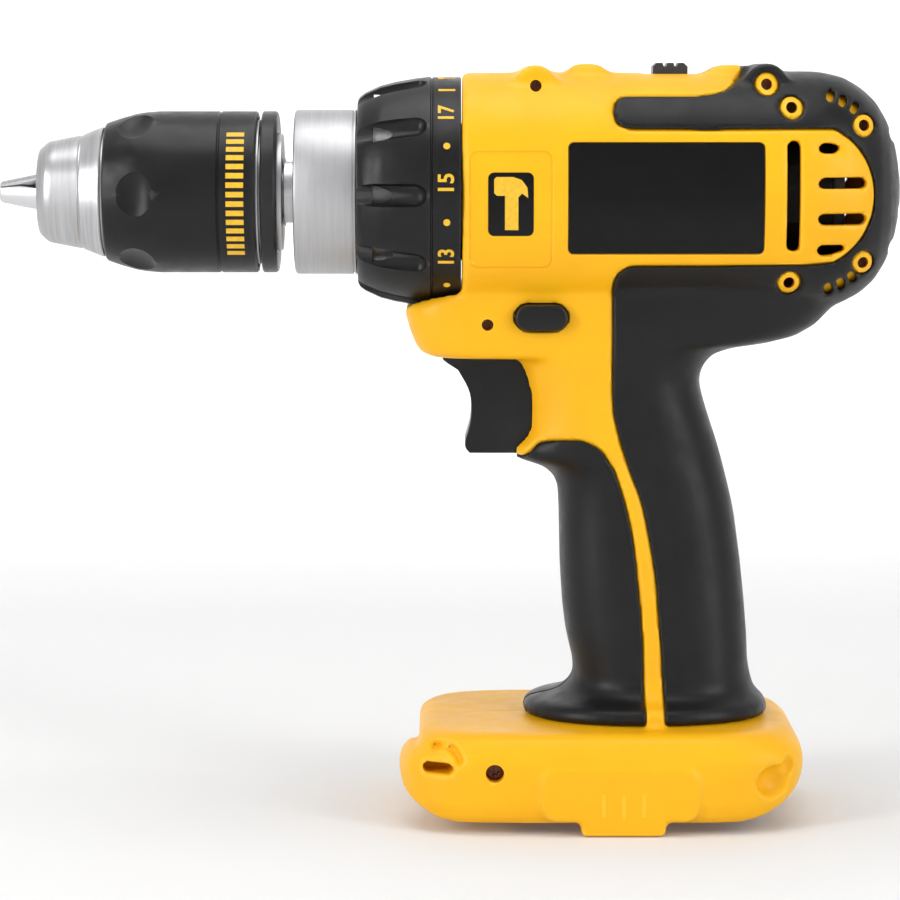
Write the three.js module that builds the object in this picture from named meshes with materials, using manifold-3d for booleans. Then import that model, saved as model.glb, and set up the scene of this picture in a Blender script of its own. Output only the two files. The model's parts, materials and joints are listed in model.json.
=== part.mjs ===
// Cordless hammer drill, bare tool: millimetres, +Z up, chuck towards -X, left side towards -Y.
// The origin is on the floor under the middle of the tool.
import * as THREE from "three";
import { mergeVertices } from "three/addons/utils/BufferGeometryUtils.js";
import Module from "manifold-3d";

const wasm = await Module();
wasm.setup();

// ---------------------------------------------------------------- driving dimensions
const spindleHeight = 172.2;      // spindle axis above the floor
const gap = 0.3;                  // assembly gap between pieces that don't move against each other
const runningGap = 0.4;           // gap between pieces that turn or slide against each other

const housingWall = 3.2;          // moulded wall, grip and housing together
const gripThickness = 1.6;        // rubber layer in the wall
const plateThickness = 0.6;       // name plates let into the sides
const splitGap = 0.3;             // parting line between the housing halves

const gearcaseRadius = 26;
const gearcaseWall = 1.4;
const barrelSideRoom = 2.3;       // air beside the gearcase
const barrelTopRoom = 3.6;        // air above it, where the speed selector slides
const leadRoom = 4.6;             // room for the lead under the motor
const barrelFront = 3.3;
const handleHalfWidth = 20;
const footFront = -14;
const footRear = 97.6;
const footHalfWidth = 41.3;
const footTop = 27.2;
const rimHeight = 3.2;            // underside of the foot above the floor
const latchTabThickness = 0.9;

const noseRadius = 22.6;          // bare metal collar that a side handle clamps on
const noseFront = -42.5;
const tubeRadius = 18.8;          // threaded tube that carries the torque ring
const collarFront = -25.3;
const collarRear = 3.0;
const collarRadius = 31.7;
const collarFluteCount = 10;

const chuckRear = -47.1;
const sleeveFront = -94.5;
const sleeveRadius = 22.2;
const sleeveWall = 1.7;
const jawRadius = 3.5;
const jawLength = 34;
const jawTilt = THREE.MathUtils.degToRad(14);
const jawTip = -123.9;
const jawTravel = 26;
const noseFace = -113;

const neckRadius = 9.4;           // spindle between the chuck and the metal collar
const spindleRadius = 8.3;
const bearingRadius = 14.7;

const gearModule = 1.27;
const sunTeeth = 9;
const planetTeeth = 12;
const ringTeeth = sunTeeth + 2 * planetTeeth;
const planetCount = 3;
const planetWidth = 6;
const ringRadius = gearcaseRadius - gearcaseWall - runningGap;
const shiftTravel = 6.5;          // speed selector and shifting ring gear

const motorRadius = 21.4;
const motorWall = 1.4;
const motorFront = 56;
const motorLength = 47.5;
const shaftRadius = 2.5;

const triggerHalfWidth = 9;
const triggerTravel = 6;
const screwRadius = 1.6;
const screwHeadRadius = 2.6;
const bossRadius = 3.6;

// ---------------------------------------------------------------- heights
// Heights are those of a tool with its spindle at 172.2 and a barrel that rises 32.8 above it.
// On the barrel they scale with it, and between the foot and the trigger the handle stretches.
const nominalSpindle = 172.2;
const nominalRise = 32.8;
const stretchTop = 98;
const driveRadius = Math.max(gearcaseRadius, motorRadius + leadRoom);
const barrelRise = driveRadius + barrelTopRoom + housingWall;
const barrelHalfWidth = driveRadius + barrelSideRoom + housingWall;
function lift(z) {
  const onBarrel = (height) =>
    spindleHeight + ((height - nominalSpindle) * barrelRise) / nominalRise;
  const barrelFoot = nominalSpindle - nominalRise;
  if (z > barrelFoot) return onBarrel(z);
  const extra = onBarrel(barrelFoot) - barrelFoot;
  const share = THREE.MathUtils.clamp((z - footTop) / (stretchTop - footTop), 0, 1);
  return z + extra * share;
}
const gripRecess = gripThickness + gap;

// ---------------------------------------------------------------- solids
function closedSolid(geometry) {
  const bare = geometry.index ? geometry.toNonIndexed() : geometry.clone();
  for (const name of Object.keys(bare.attributes)) {
    if (name !== "position") bare.deleteAttribute(name);
  }
  const merged = mergeVertices(bare, 1e-4);
  const points = merged.attributes.position.array;
  const index = merged.index.array;
  let triangles = [];
  let volume = 0;
  for (let i = 0; i < index.length; i += 3) {
    const [a, b, c] = [index[i], index[i + 1], index[i + 2]];
    if (a === b || b === c || c === a) continue;
    triangles.push(a, b, c);
    const corner = [a, b, c].map((k) => new THREE.Vector3().fromArray(points, 3 * k));
    volume += corner[0].dot(corner[1].cross(corner[2]));
  }
  if (volume < 0) triangles = triangles.reverse();
  return new wasm.Manifold(new wasm.Mesh({
    numProp: 3,
    vertProperties: new Float32Array(points),
    triVerts: new Uint32Array(triangles),
  }));
}

function geometryOf(solid) {
  const mesh = solid.getMesh();
  const geometry = new THREE.BufferGeometry();
  geometry.setAttribute("position", new THREE.BufferAttribute(mesh.vertProperties, 3));
  geometry.setIndex(new THREE.BufferAttribute(mesh.triVerts, 1));
  geometry.computeVertexNormals();
  return geometry;
}

const join = (solids) => solids.reduce((whole, piece) => whole.add(piece));
const cut = (solid, tools) => tools.reduce((whole, tool) => whole.subtract(tool), solid);

// A box from its lowest to its highest corner.
function box(low, high) {
  const size = new THREE.Vector3().subVectors(high, low);
  const middle = new THREE.Vector3().addVectors(low, high).multiplyScalar(0.5);
  return closedSolid(new THREE.BoxGeometry(size.x, size.y, size.z).translate(...middle));
}
const at = (x, y, z) => new THREE.Vector3(x, y, z);

// A turned piece about the spindle axis: [x, radius] pairs, a closed loop or axis to axis.
function turned(profile, segments = 32) {
  const onAxis = profile[0][1] === 0 && profile.at(-1)[1] === 0;
  const loop = onAxis ? profile : [...profile, profile[0]];
  const points = loop.map(([x, radius]) => new THREE.Vector2(radius, x));
  const lathe = new THREE.LatheGeometry(points, segments);
  return closedSolid(lathe.rotateZ(-Math.PI / 2).translate(0, 0, spindleHeight));
}
const ringAbout = (x0, x1, inner, outer, segments) =>
  turned([[x0, inner], [x1, inner], [x1, outer], [x0, outer]], segments);
const rodAbout = (x0, x1, radius, segments) =>
  turned([[x0, 0], [x0, radius], [x1, radius], [x1, 0]], segments);

// A side outline of x and z, extruded from y0 to y1.
function sidePlate(outline, y0, y1) {
  const plate = new THREE.ExtrudeGeometry(new THREE.Shape(outline), {
    depth: y1 - y0,
    bevelEnabled: false,
  });
  return closedSolid(plate.rotateX(Math.PI / 2).translate(0, y1, 0));
}
// An outline of y and z around the spindle axis, extruded from x0 to x1.
function crossPlate(outline, x0, x1, holes = []) {
  const shape = new THREE.Shape(outline);
  shape.holes = holes.map((hole) => new THREE.Path(hole));
  const plate = new THREE.ExtrudeGeometry(shape, { depth: x1 - x0, bevelEnabled: false });
  const turn = new THREE.Matrix4().makeBasis(at(0, 1, 0), at(0, 0, 1), at(1, 0, 0));
  return closedSolid(plate.applyMatrix4(turn).translate(x0, 0, spindleHeight));
}
function circle(radius, count = 24, centre = new THREE.Vector2()) {
  return Array.from({ length: count }, (_, k) => {
    const angle = (2 * Math.PI * k) / count;
    return new THREE.Vector2(Math.cos(angle), Math.sin(angle)).multiplyScalar(radius).add(centre);
  });
}
// A rod across the tool, along Y.
function crossRod(x, z, radius, y0, y1, segments = 12) {
  const rod = new THREE.CylinderGeometry(radius, radius, y1 - y0, segments);
  return closedSolid(rod.translate(x, (y0 + y1) / 2, z));
}

// Closed rings of equal length joined into a skin, with a flat cap on each end.
function loft(rings) {
  const count = rings[0].length;
  const corners = rings.flat();
  const faces = [];
  for (let r = 0; r + 1 < rings.length; r += 1) {
    for (let k = 0; k < count; k += 1) {
      const next = (k + 1) % count;
      const [a, b] = [r * count + k, r * count + next];
      faces.push(a, b, b + count, a, b + count, a + count);
    }
  }
  for (const [start, flip] of [[0, true], [(rings.length - 1) * count, false]]) {
    for (let k = 1; k + 1 < count; k += 1) {
      faces.push(start, start + k + (flip ? 1 : 0), start + k + (flip ? 0 : 1));
    }
  }
  const geometry = new THREE.BufferGeometry().setFromPoints(corners);
  geometry.setIndex(faces);
  return closedSolid(geometry);
}
function roundedRing(count, exponent, place) {
  return Array.from({ length: count }, (_, k) => {
    const angle = (2 * Math.PI * (k + 0.5)) / count;
    const bend = (v) => Math.sign(v) * Math.abs(v) ** (2 / exponent);
    return place(bend(Math.cos(angle)), bend(Math.sin(angle)));
  });
}

// Points moved outwards by a distance, for the clearance around an inlaid piece.
function grown(outline, distance) {
  const turn = THREE.ShapeUtils.area(outline) > 0 ? 1 : -1;
  return outline.map((point, k) => {
    const before = outline.at(k - 1);
    const after = outline[(k + 1) % outline.length];
    const edgeIn = new THREE.Vector2().subVectors(point, before).normalize();
    const edgeOut = new THREE.Vector2().subVectors(after, point).normalize();
    const mitre = edgeIn.clone().add(edgeOut).normalize();
    const stretch = Math.max(mitre.dot(edgeIn), 0.5);
    const normal = new THREE.Vector2(mitre.y, -mitre.x);
    return point.clone().addScaledVector(normal, (turn * distance) / stretch);
  });
}
const flat = (x, z) => new THREE.Vector2(x, lift(z));

// ---------------------------------------------------------------- housing shape
// Each body of the housing can be drawn smaller by an inset, which gives the hollow inside it
// and the floor under the rubber grips.
function barrel(inset) {
  const stations = [                // x, rise, drop, half width, roundness
    [barrelFront, 0, 0.4, 0, 2.15],
    [14, 0, 0.4, 0, 2.3],
    [84, 0, 0.4, 0, 2.4],
    [99, 0.1, 1.0, 1.5, 2.4],
    [107.5, 2.1, 3.2, 4.0, 2.4],
    [113.1, 5.4, 5.9, 7.0, 2.4],
    [118.6, 11.5, 10.6, 12.7, 2.4],
    [122.2, 20.5, 19.6, 20.5, 2.4],
    [123.9, 29.0, 29.0, 28.5, 2.4],
  ];
  const rings = stations.map(([x, rise, drop, narrowing, exponent], k) => {
    const up = Math.max(barrelRise - rise - inset, 0.5);
    const down = Math.max(barrelRise - drop - inset, 0.5);
    const half = Math.max(barrelHalfWidth - narrowing - inset, 0.5);
    const place = k === 0 ? x + inset : x - (x > 110 ? inset : 0);
    return roundedRing(20, exponent, (c, s) =>
      at(place, half * c, spindleHeight + (s > 0 ? up : down) * s));
  });
  return loft(rings);
}
function upright(stations, inset, exponent, count) {
  return loft(stations.map(([z, front, rear, half]) => roundedRing(count, exponent, (c, s) =>
    at((front + rear) / 2 + ((rear - front) / 2 - inset) * c, (half - inset) * s, z))));
}
function chin() {
  const stations = [                // height, front, rear, half width
    [150, -3, 60, 19],
    [144, -6.5, 60, 20.3],
    [141.2, -11.3, 60, 20.5],
    [134, -9.7, 60, 20.3],
    [130.4, -8, 60, 20],
    [128.5, -6.4, 60, 19.5],
    [127.9, -2.5, 60, 18.5],
  ];
  return upright(stations.map(([z, ...rest]) => [lift(z), ...rest]), 0, 4, 12);
}
function handle(inset) {
  const wide = handleHalfWidth;
  const stations = [
    [152, 17, 104, wide + 1.5],
    [132, 17, 94, wide + 1.5],
    [128, 15.5, 74.5, wide + 1],
    [125.1, 18.3, 71.2, wide + 0.6],
    [118.7, 20.3, 70.2, wide],
    [110, 20.8, 72.4, wide - 0.3],
    [101.2, 17.8, 75.4, wide - 0.7],
    [97.5, 25, 76.3, wide - 0.8],
    [94.2, 29, 77, wide - 0.9],
    [89, 30.2, 78.3, wide - 1],
    [70, 30.7, 81, wide - 0.9],
    [50, 32.3, 82.6, wide - 0.4],
    [38, 34.4, 83.2, wide],
    [22, 35, 84, wide],
  ];
  return upright(stations.map(([z, ...rest]) => [lift(z), ...rest]), inset, 2.7, 14);
}
function foot(inset) {
  const stations = [
    [rimHeight, footFront + 2, footRear - 5, footHalfWidth - 2.7],
    [8, footFront, footRear - 2, footHalfWidth - 0.3],
    [17, footFront, footRear, footHalfWidth],
    [22, footFront + 2.5, footRear - 0.8, footHalfWidth - 0.7],
    [footTop - 1.6, footFront + 6, footRear - 4, footHalfWidth - 2.9],
    [footTop, footFront + 9.5, footRear - 7.6, footHalfWidth - 6.3],
  ];
  const grownTop = stations.map(([z, ...rest]) => [z > rimHeight ? z - inset : z, ...rest]);
  return upright(grownTop, inset, 5, 16);
}
function skirt() {
  const stations = [
    [footTop + gap, 20.1, 88.5, 28.5],
    [30.7, 20.1, 88.5, 28.5],
    [34.6, 31.5, 84.8, 21.6],
    [40, 34, 83.4, 19.9],
  ];
  return upright(stations, 0, 2.2, 18);
}

// ---------------------------------------------------------------- side outlines
function stripEdge(points) {
  const line = points.map(([x, z]) => new THREE.Vector2(x, z));
  return new THREE.SplineCurve(line).getPoints(points.length + 1).map((p) => flat(p.x, p.y));
}
const stripRear = () => stripEdge([
  [44.1, 135], [44.2, 116], [48.8, 97.2], [54.4, 78], [57.2, 56], [58.5, 34], [59, 20],
]);
const stripFront = () => stripEdge([
  [44.8, 97], [50, 78], [52.4, 56], [53.3, 34], [53.4, 20],
]);
const ventEnd = { x: 94.6, radius: 20, drop: 0.3 };
function rearGripOutline() {
  const shape = new THREE.Shape();
  shape.moveTo(44, 192.8);
  shape.quadraticCurveTo(43.6, 198.5, 47, 198.5);
  shape.lineTo(67, 198.5);
  shape.quadraticCurveTo(77, 199.5, 80.8, 213);
  shape.lineTo(140, 213);
  shape.lineTo(140, 20);
  const upper = shape.getPoints(4).map((p) => flat(p.x, p.y));
  const end = new THREE.Path();
  end.moveTo(44, 146.7);
  end.quadraticCurveTo(44, 153.1, 50, 153.1);
  end.absarc(ventEnd.x, nominalSpindle - ventEnd.drop, ventEnd.radius, -1.22, 1.08, false);
  end.lineTo(48.5, 189.6);
  const inner = end.getPoints(5).map((p) => flat(p.x, p.y));
  return [...upper, ...stripRear().reverse(), ...inner];
}
function frontGripOutline() {
  const top = [[-5, 97.4], [21, 97.8], [24.5, 101.4], [30.8, 104], [37, 104.2], [41.6, 102]];
  return [...top.map(([x, z]) => flat(x, z)), ...stripFront(), flat(-5, 20)];
}
function roundedRectangle(x0, z0, x1, z1, radius) {
  const shape = new THREE.Shape();
  shape.moveTo(x0 + radius, z0);
  shape.absarc(x1 - radius, z0 + radius, radius, -Math.PI / 2, 0, false);
  shape.absarc(x1 - radius, z1 - radius, radius, 0, Math.PI / 2, false);
  shape.absarc(x0 + radius, z1 - radius, radius, Math.PI / 2, Math.PI, false);
  shape.absarc(x0 + radius, z0 + radius, radius, Math.PI, 1.5 * Math.PI, false);
  const points = shape.getPoints(1);
  return points.filter((p, k) => k === 0 || p.distanceTo(points[k - 1]) > 1e-4).slice(0, -1);
}
const plateOutline = () => roundedRectangle(31.8, lift(156.6), 84.1, lift(186.3), 1.5);

// ---------------------------------------------------------------- fasteners
const screws = [                    // name, x, height, head depth, tip
  ["screw_top_front", 23.2, 201.4, -13.5, 9],
  ["screw_top_rear", 85.7, 201.7, -13.5, 9],
  ["screw_rear_upper", 111.6, 190.6, -14.5, 9],
  ["screw_rear_lower", 111.8, 153.9, -14.5, 9],
  ["screw_chin", 10.2, 136.8, -17, 9],
  ["screw_foot", 12.1, 17.2, -37, -12],
];
function screwPlaces() {
  return screws.map(([name, x, z, head, tip]) => ({ name, x, z: lift(z), head, tip }));
}
function screwSolid({ x, z, head, tip }) {
  const headLength = 2.2;
  const socket = crossRod(x, z, 1.2, head - 1, head + 1.3, 6);
  const shank = crossRod(x, z, screwRadius, head + headLength - 0.1, tip, 6);
  return crossRod(x, z, screwHeadRadius, head, head + headLength, 8).add(shank).subtract(socket);
}
function screwHole({ x, z, head, tip }) {
  const headLength = 2.2;
  const seat = crossRod(x, z, screwHeadRadius + gap, -60, head + headLength + gap, 8);
  return seat.add(crossRod(x, z, screwRadius + gap, head, tip + 1, 6));
}

// ---------------------------------------------------------------- housing
const leftHalf = box(at(-200, -100, -50), at(200, -splitGap / 2, 300));
const rightHalf = box(at(-200, splitGap / 2, -50), at(200, 100, 300));
const selectorPad = { front: 55.5, rear: 65 };
const selectorSlot = {
  front: selectorPad.front - 2,
  rear: selectorPad.rear + shiftTravel + 1.5,
  halfWidth: 5.4,
};
const triggerRear = 24.5;
const button = { x: 24.8, z: 138.9, halfLength: 7.1, radius: 3.5, reach: 23.4 };

function obround(centreX, centreZ, halfLength, radius) {
  const shape = new THREE.Shape();
  const run = halfLength - radius;
  shape.absarc(centreX + run, centreZ, radius, -Math.PI / 2, Math.PI / 2, false);
  shape.absarc(centreX - run, centreZ, radius, Math.PI / 2, 1.5 * Math.PI, false);
  return shape.getPoints(4).slice(0, -1);
}
function topBosses() {
  const rod = (x, z, radius, half) => crossRod(x, lift(z), radius, -half, half, 12);
  return [
    rod(23.2, 201.4, 6.3, 15.5),
    rod(85.7, 201.7, 6.4, 15.5),
    sidePlate([flat(33, 198), flat(42, 198), flat(41, 207.6), flat(34, 207.6)], -9, 9),
    sidePlate([flat(71.5, 198), flat(82, 198), flat(82, 207), flat(73, 207.3)], -9, 9),
  ];
}
function latchPanels() {
  const panel = sidePlate(roundedRectangle(24.5, 4, 67.6, 18.9, 3), -50, 50);
  const tab = sidePlate(roundedRectangle(35.3, 0, 58.2, 12, 1.5), -50, 50);
  const reach = footHalfWidth + latchTabThickness;
  const outside = box(at(-50, -reach, -1), at(150, reach, 40));
  const depth = footHalfWidth - 4.4;
  const middle = box(at(-50, -depth, -1), at(150, depth, 40));
  return panel.add(tab).intersect(outside).subtract(middle);
}
function frontPad() {
  return box(at(4, -6, 0), at(16, 6, rimHeight + 1));
}
function outerBody() {
  const collarRoom = rodAbout(collarFront - 20, barrelFront, collarRadius + runningGap + 0.5);
  const chinBody = chin().subtract(collarRoom);
  return join([
    barrel(0), chinBody, handle(0), foot(0), skirt(), ...topBosses(), latchPanels(), frontPad(),
  ]);
}
const underGrip = (depth) => join([barrel(depth), handle(depth)]);

function ventSlots() {
  const slots = [                   // x0, x1, height, half height
    [98.5, 106.5, 184.6, 1.3],
    [98.5, 112, 175.4, 1.5],
    [98.5, 112, 165.7, 1.5],
    [98.5, 106.5, 157.4, 1.2],
  ];
  const upright = [90.2, 94, 172, 14.8];
  return [upright, ...slots].flatMap(([x0, x1, z, half]) => [-40, 40].map((y) =>
    box(at(x0, y - 20, lift(z) - half), at(x1, y + 20, lift(z) + half))));
}
function hollow() {
  const footHollow = upright([
    [-1, 17.5, footRear - 9, footHalfWidth - 4.5],
    [footTop - housingWall, 17.5, footRear - 9, footHalfWidth - 4.5],
  ], 0, 8, 16);
  const frontWallInside = barrelFront + housingWall;
  const barrelRoom = barrel(housingWall).intersect(
    box(at(frontWallInside, -100, 0), at(200, 100, 400)));
  return [
    handle(housingWall),
    barrelRoom,
    footHollow,
    rodAbout(barrelFront - 1, frontWallInside + 1, gearcaseRadius + 0.8 + gap, 30),
  ];
}
function controlOpenings() {
  const slot = selectorSlot;
  const stretch = obround(button.x, lift(button.z), button.halfLength, button.radius);
  const side = triggerHalfWidth + runningGap;
  return [
    box(at(slot.front, -slot.halfWidth, lift(190)), at(slot.rear, slot.halfWidth, lift(215))),
    sidePlate(grown(stretch, runningGap), -60, 60),
    box(at(0, -side, lift(100.5)), at(40, side, lift(127.9))),
  ];
}
function screwPosts() {
  return screwPlaces().map(({ x, z }) => crossRod(x, z, bossRadius, -40, 40, 8));
}
const bodyOutside = outerBody();
const driveRoom = rodAbout(barrelFront, 110, gearcaseRadius + runningGap + 0.4, 24);

function housing() {
  const posts = join(screwPosts()).intersect(bodyOutside).subtract(driveRoom);
  const recess = (outline, depth) =>
    sidePlate(grown(outline, gap), -80, 80).subtract(underGrip(depth)).subtract(foot(0));
  return cut(cut(bodyOutside, hollow()).add(posts), [
    recess(rearGripOutline(), gripRecess),
    recess(frontGripOutline(), gripRecess),
    recess(plateOutline(), plateThickness + gap),
    ...ventSlots(),
    ...controlOpenings(),
    ...screwPlaces().map(screwHole),
  ]);
}
function inlay(outline, thickness, half) {
  const whole = bodyOutside.intersect(sidePlate(outline, -80, 80)).intersect(half);
  const bare = whole.subtract(underGrip(thickness)).subtract(foot(-gap));
  return cut(bare, [...screwPlaces().map(screwHole), ...controlOpenings()]);
}

// ---------------------------------------------------------------- controls
function trigger() {
  const finger = new THREE.SplineCurve([
    flat(3.1, 124), flat(6.9, 117.3), flat(7.1, 110), flat(5, 102.8),
  ]).getPoints(8);
  const outline = [
    flat(-2.2, 127.4), flat(-1.1, 125.8), ...finger, flat(6.4, 100.9), flat(14.2, 100.9),
    flat(17, 104.5), flat(triggerRear, 104.5), flat(triggerRear, 127.4),
  ];
  return sidePlate(outline, -triggerHalfWidth, triggerHalfWidth);
}
function directionButton() {
  const outline = obround(button.x, lift(button.z), button.halfLength, button.radius);
  return sidePlate(outline, -button.reach, button.reach);
}
function speedSelector() {
  const base = spindleHeight + gearcaseRadius + 0.8;
  const thumb = selectorSlot.halfWidth - runningGap;
  const plate = box(at(50, -6.5, base), at(70, 6.5, base + 1.4));
  const { front, rear } = selectorPad;
  const pad = box(at(front, -thumb, base + 1), at(rear, thumb, lift(207.6)));
  const grooves = [57.2, 60.2, 63.2].map((x) =>
    box(at(x - 0.5, -thumb - 1, lift(207)), at(x + 0.5, thumb + 1, lift(209))));
  const arm = box(at(36.6, -2.2, base), at(52, 2.2, base + 1.4));
  const leg = box(at(36.6, -2.2, spindleHeight + ringRadius - 0.3), at(38.2, 2.2, base + 1));
  return cut(join([plate, pad, arm, leg]), grooves);
}
function clutchCollar() {
  const shell = turned([
    [collarFront, tubeRadius + runningGap], [collarFront, 26.0], [-19, 29.2],
    [-5.5, collarRadius], [collarRear, collarRadius], [collarRear, 27.4],
    [-21, 27.4], [-21, tubeRadius + runningGap],
  ], 30);
  const flutes = Array.from({ length: collarFluteCount }, (_, k) => {
    const tool = new THREE.CapsuleGeometry(3.6, 12, 2, 8);
    tool.rotateZ(Math.PI / 2).translate(-15, -(collarRadius + 1.2), 0);
    tool.rotateX((2 * Math.PI * k) / collarFluteCount);
    return closedSolid(tool.translate(0, 0, spindleHeight));
  });
  return cut(shell, flutes);
}

// ---------------------------------------------------------------- chuck
const jawStart = 2.0;               // distance of a jaw's centre line from the axis at its tip
const nutFront = -88.2;
const nutRear = -82;
const jawReach = (x) => jawStart + (x - jawTip) * Math.tan(jawTilt) + jawRadius / Math.cos(jawTilt);
const nutGroove = 14.2;
const bodyRadius = sleeveRadius - sleeveWall - 0.6;

function aboutAxis(geometry, turn) {
  return geometry.clone().rotateX(turn).translate(0, 0, spindleHeight);
}
function jawRod(radius, from, to) {
  const rod = new THREE.CylinderGeometry(radius, radius, to - from, 10);
  rod.rotateZ(-Math.PI / 2).translate((from + to) / 2, 0, 0);
  return rod.rotateY(-jawTilt).translate(jawTip, 0, jawStart);
}
function jaw(k) {
  const turn = (2 * Math.PI * k) / 3;
  const rod = closedSolid(aboutAxis(jawRod(jawRadius, -4, jawLength), turn));
  const wedgeOutline = [
    new THREE.Vector2(0, 0.25),
    new THREE.Vector2(30, 0.25 + 30 * Math.tan(Math.PI / 6)),
    new THREE.Vector2(-30, 0.25 + 30 * Math.tan(Math.PI / 6)),
  ].map((p) => p.rotateAround(new THREE.Vector2(), turn));
  const wedge = crossPlate(wedgeOutline, jawTip, 0);
  return rod.intersect(wedge).intersect(turned([
    [jawTip, 0], [jawTip, 3.2], [jawTip + 8, 8.5], [jawTip + 12, 40], [0, 40], [0, 0],
  ], 24));
}
function chuckBody() {
  const outside = turned([
    [noseFace, 0], [noseFace, 11.8], [-110.5, 13.7], [-101.1, 15.6], [-95.3, 17.9],
    [-95.1, 16.6], [nutFront - gap, 16.6], [nutFront - gap, nutGroove],
    [nutRear + gap, nutGroove], [nutRear + gap, bodyRadius], [-52.2, bodyRadius],
    [-52.2, 16], [-46, 16], [-46, 0],
  ], 24);
  const bore = turned([
    [noseFace - 1, 0], [noseFace - 1, 6.9], [-68, 6.9], [-68, 2.8], [-62.2, 2.8],
    [-62.2, 6.8], [-45, 6.8], [-45, 0],
  ], 12);
  const jawHoles = [0, 1, 2].map((k) => closedSolid(
    aboutAxis(jawRod(jawRadius + runningGap, -20, jawLength + jawTravel + 2), (2 * Math.PI * k) / 3)));
  return cut(outside, [bore, ...jawHoles]);
}
function chuckSleeve() {
  const inside = sleeveRadius - sleeveWall;
  return turned([
    [sleeveFront, 17.1], [sleeveFront, 18.9], [-86.4, sleeveRadius - 0.5], [-79.6, sleeveRadius],
    [-52.6, sleeveRadius], [-52.6, inside], [-85, inside], [-88.6, inside - 0.4],
    [-90.6, 17.1],
  ], 28);
}
function chuckNut() {
  return turned([
    [nutFront, jawReach(nutFront) + runningGap], [nutFront, bodyRadius - 0.2],
    [nutRear, bodyRadius - 0.2], [nutRear, jawReach(nutRear) + runningGap],
  ], 32);
}
function spindle() {
  const whole = turned([
    [-61.5, 0], [-61.5, 6.4], [-45.6, 6.4], [-45.6, neckRadius], [-41.0, neckRadius],
    [-41.0, spindleRadius], [-22.8, spindleRadius], [-22.8, 7], [10.4, 7], [10.4, 0],
  ], 20);
  const flats = [-1, 1].map((side) =>
    box(at(-45.3, -20, spindleHeight + (side > 0 ? 8.4 : -20)),
      at(-42.7, 20, spindleHeight + (side > 0 ? 20 : -8.4))));
  return cut(whole, [rodAbout(-62, -51.5, 2.6, 12), ...flats]);
}
function chuckScrew() {
  return turned([
    [-70.5, 0], [-70.5, 5.4], [-68.3, 5.4], [-68.3, 2.3], [-52, 2.3], [-52, 0],
  ], 16);
}

// ---------------------------------------------------------------- nose and clutch
const flangeRadius = gearcaseRadius + 0.8;
function gearcaseNose() {
  return turned([
    [noseFront, neckRadius + runningGap], [noseFront, noseRadius], [-25.7, noseRadius],
    [-25.7, tubeRadius], [barrelFront + 0.4, tubeRadius], [barrelFront + 0.4, flangeRadius],
    [6.4, flangeRadius], [6.4, 16.2], [-31, 16.2], [-31, 11.5], [-32.1, 11.5],
    [-32.1, bearingRadius + gap], [-41.2, bearingRadius + gap], [-41.2, neckRadius + runningGap],
  ], 26);
}
const frontBearing = () => ringAbout(-40.9, -32.4, spindleRadius + gap, bearingRadius, 24);
const clutchNut = () => ringAbout(-8, -3.8, tubeRadius + runningGap, 27, 30);
function helix(radius, x0, x1, turns) {
  class Coil extends THREE.Curve {
    getPoint(t) {
      const angle = 2 * Math.PI * turns * t;
      return at(x0 + (x1 - x0) * t, radius * Math.cos(angle), radius * Math.sin(angle));
    }
  }
  return new Coil();
}
function clutchSpring() {
  const wire = 0.9;
  const coil = helix((tubeRadius + 27.4) / 2, -3.4 + wire, barrelFront - wire, 1.9);
  const section = new THREE.Shape(circle(wire, 5));
  const tube = new THREE.ExtrudeGeometry(section, {
    steps: 30, bevelEnabled: false, extrudePath: coil,
  });
  return closedSolid(tube.translate(0, 0, spindleHeight));
}
function ratchet(x0, x1, face, inner, outer) {
  const teeth = 8;
  const low = Math.min(x1, face);
  const high = Math.max(x1, face);
  const notches = Array.from({ length: teeth }, (_, k) => {
    const outline = [[-0.12, inner - 2], [0.12, inner - 2], [0.17, outer + 2], [-0.17, outer + 2]]
      .map(([turn, radius]) => {
        const angle = turn + (2 * Math.PI * k) / teeth;
        return new THREE.Vector2(Math.cos(angle), Math.sin(angle)).multiplyScalar(radius);
      });
    return crossPlate(outline, low - (face < x1 ? 1 : 0), high + (face > x1 ? 1 : 0));
  });
  return cut(ringAbout(Math.min(x0, face), Math.max(x0, face), inner, outer, 24), notches);
}
const movingRatchet = () => ratchet(-28.6, -25.4, -24.3, spindleRadius + 0.05 + gap, 14.6);
const fixedRatchet = () => ratchet(-19.6, -22.9, -24, 8.6, 15.9);

// ---------------------------------------------------------------- gears
function gearOutline(teeth, radius, addendum, dedendum, phase, share = 0.4) {
  const pitch = (2 * Math.PI) / teeth;
  const points = [];
  for (let k = 0; k < teeth; k += 1) {
    const middle = phase + k * pitch;
    const corners = [
      [-0.5 * pitch * (share + 0.22), radius - dedendum],
      [-0.5 * pitch * (share - 0.2), radius + addendum],
      [0.5 * pitch * (share - 0.2), radius + addendum],
      [0.5 * pitch * (share + 0.22), radius - dedendum],
    ];
    for (const [turn, r] of corners) {
      const angle = middle + turn;
      points.push(new THREE.Vector2(Math.cos(angle), Math.sin(angle)).multiplyScalar(r));
    }
  }
  return points;
}
const sunPitch = (gearModule * sunTeeth) / 2;
const planetPitch = (gearModule * planetTeeth) / 2;
const ringPitch = (gearModule * ringTeeth) / 2;
const centreDistance = sunPitch + planetPitch;
const addendum = 0.8 * gearModule;
const dedendum = 1.15 * gearModule;
const pinRadius = 2.2;

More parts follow.
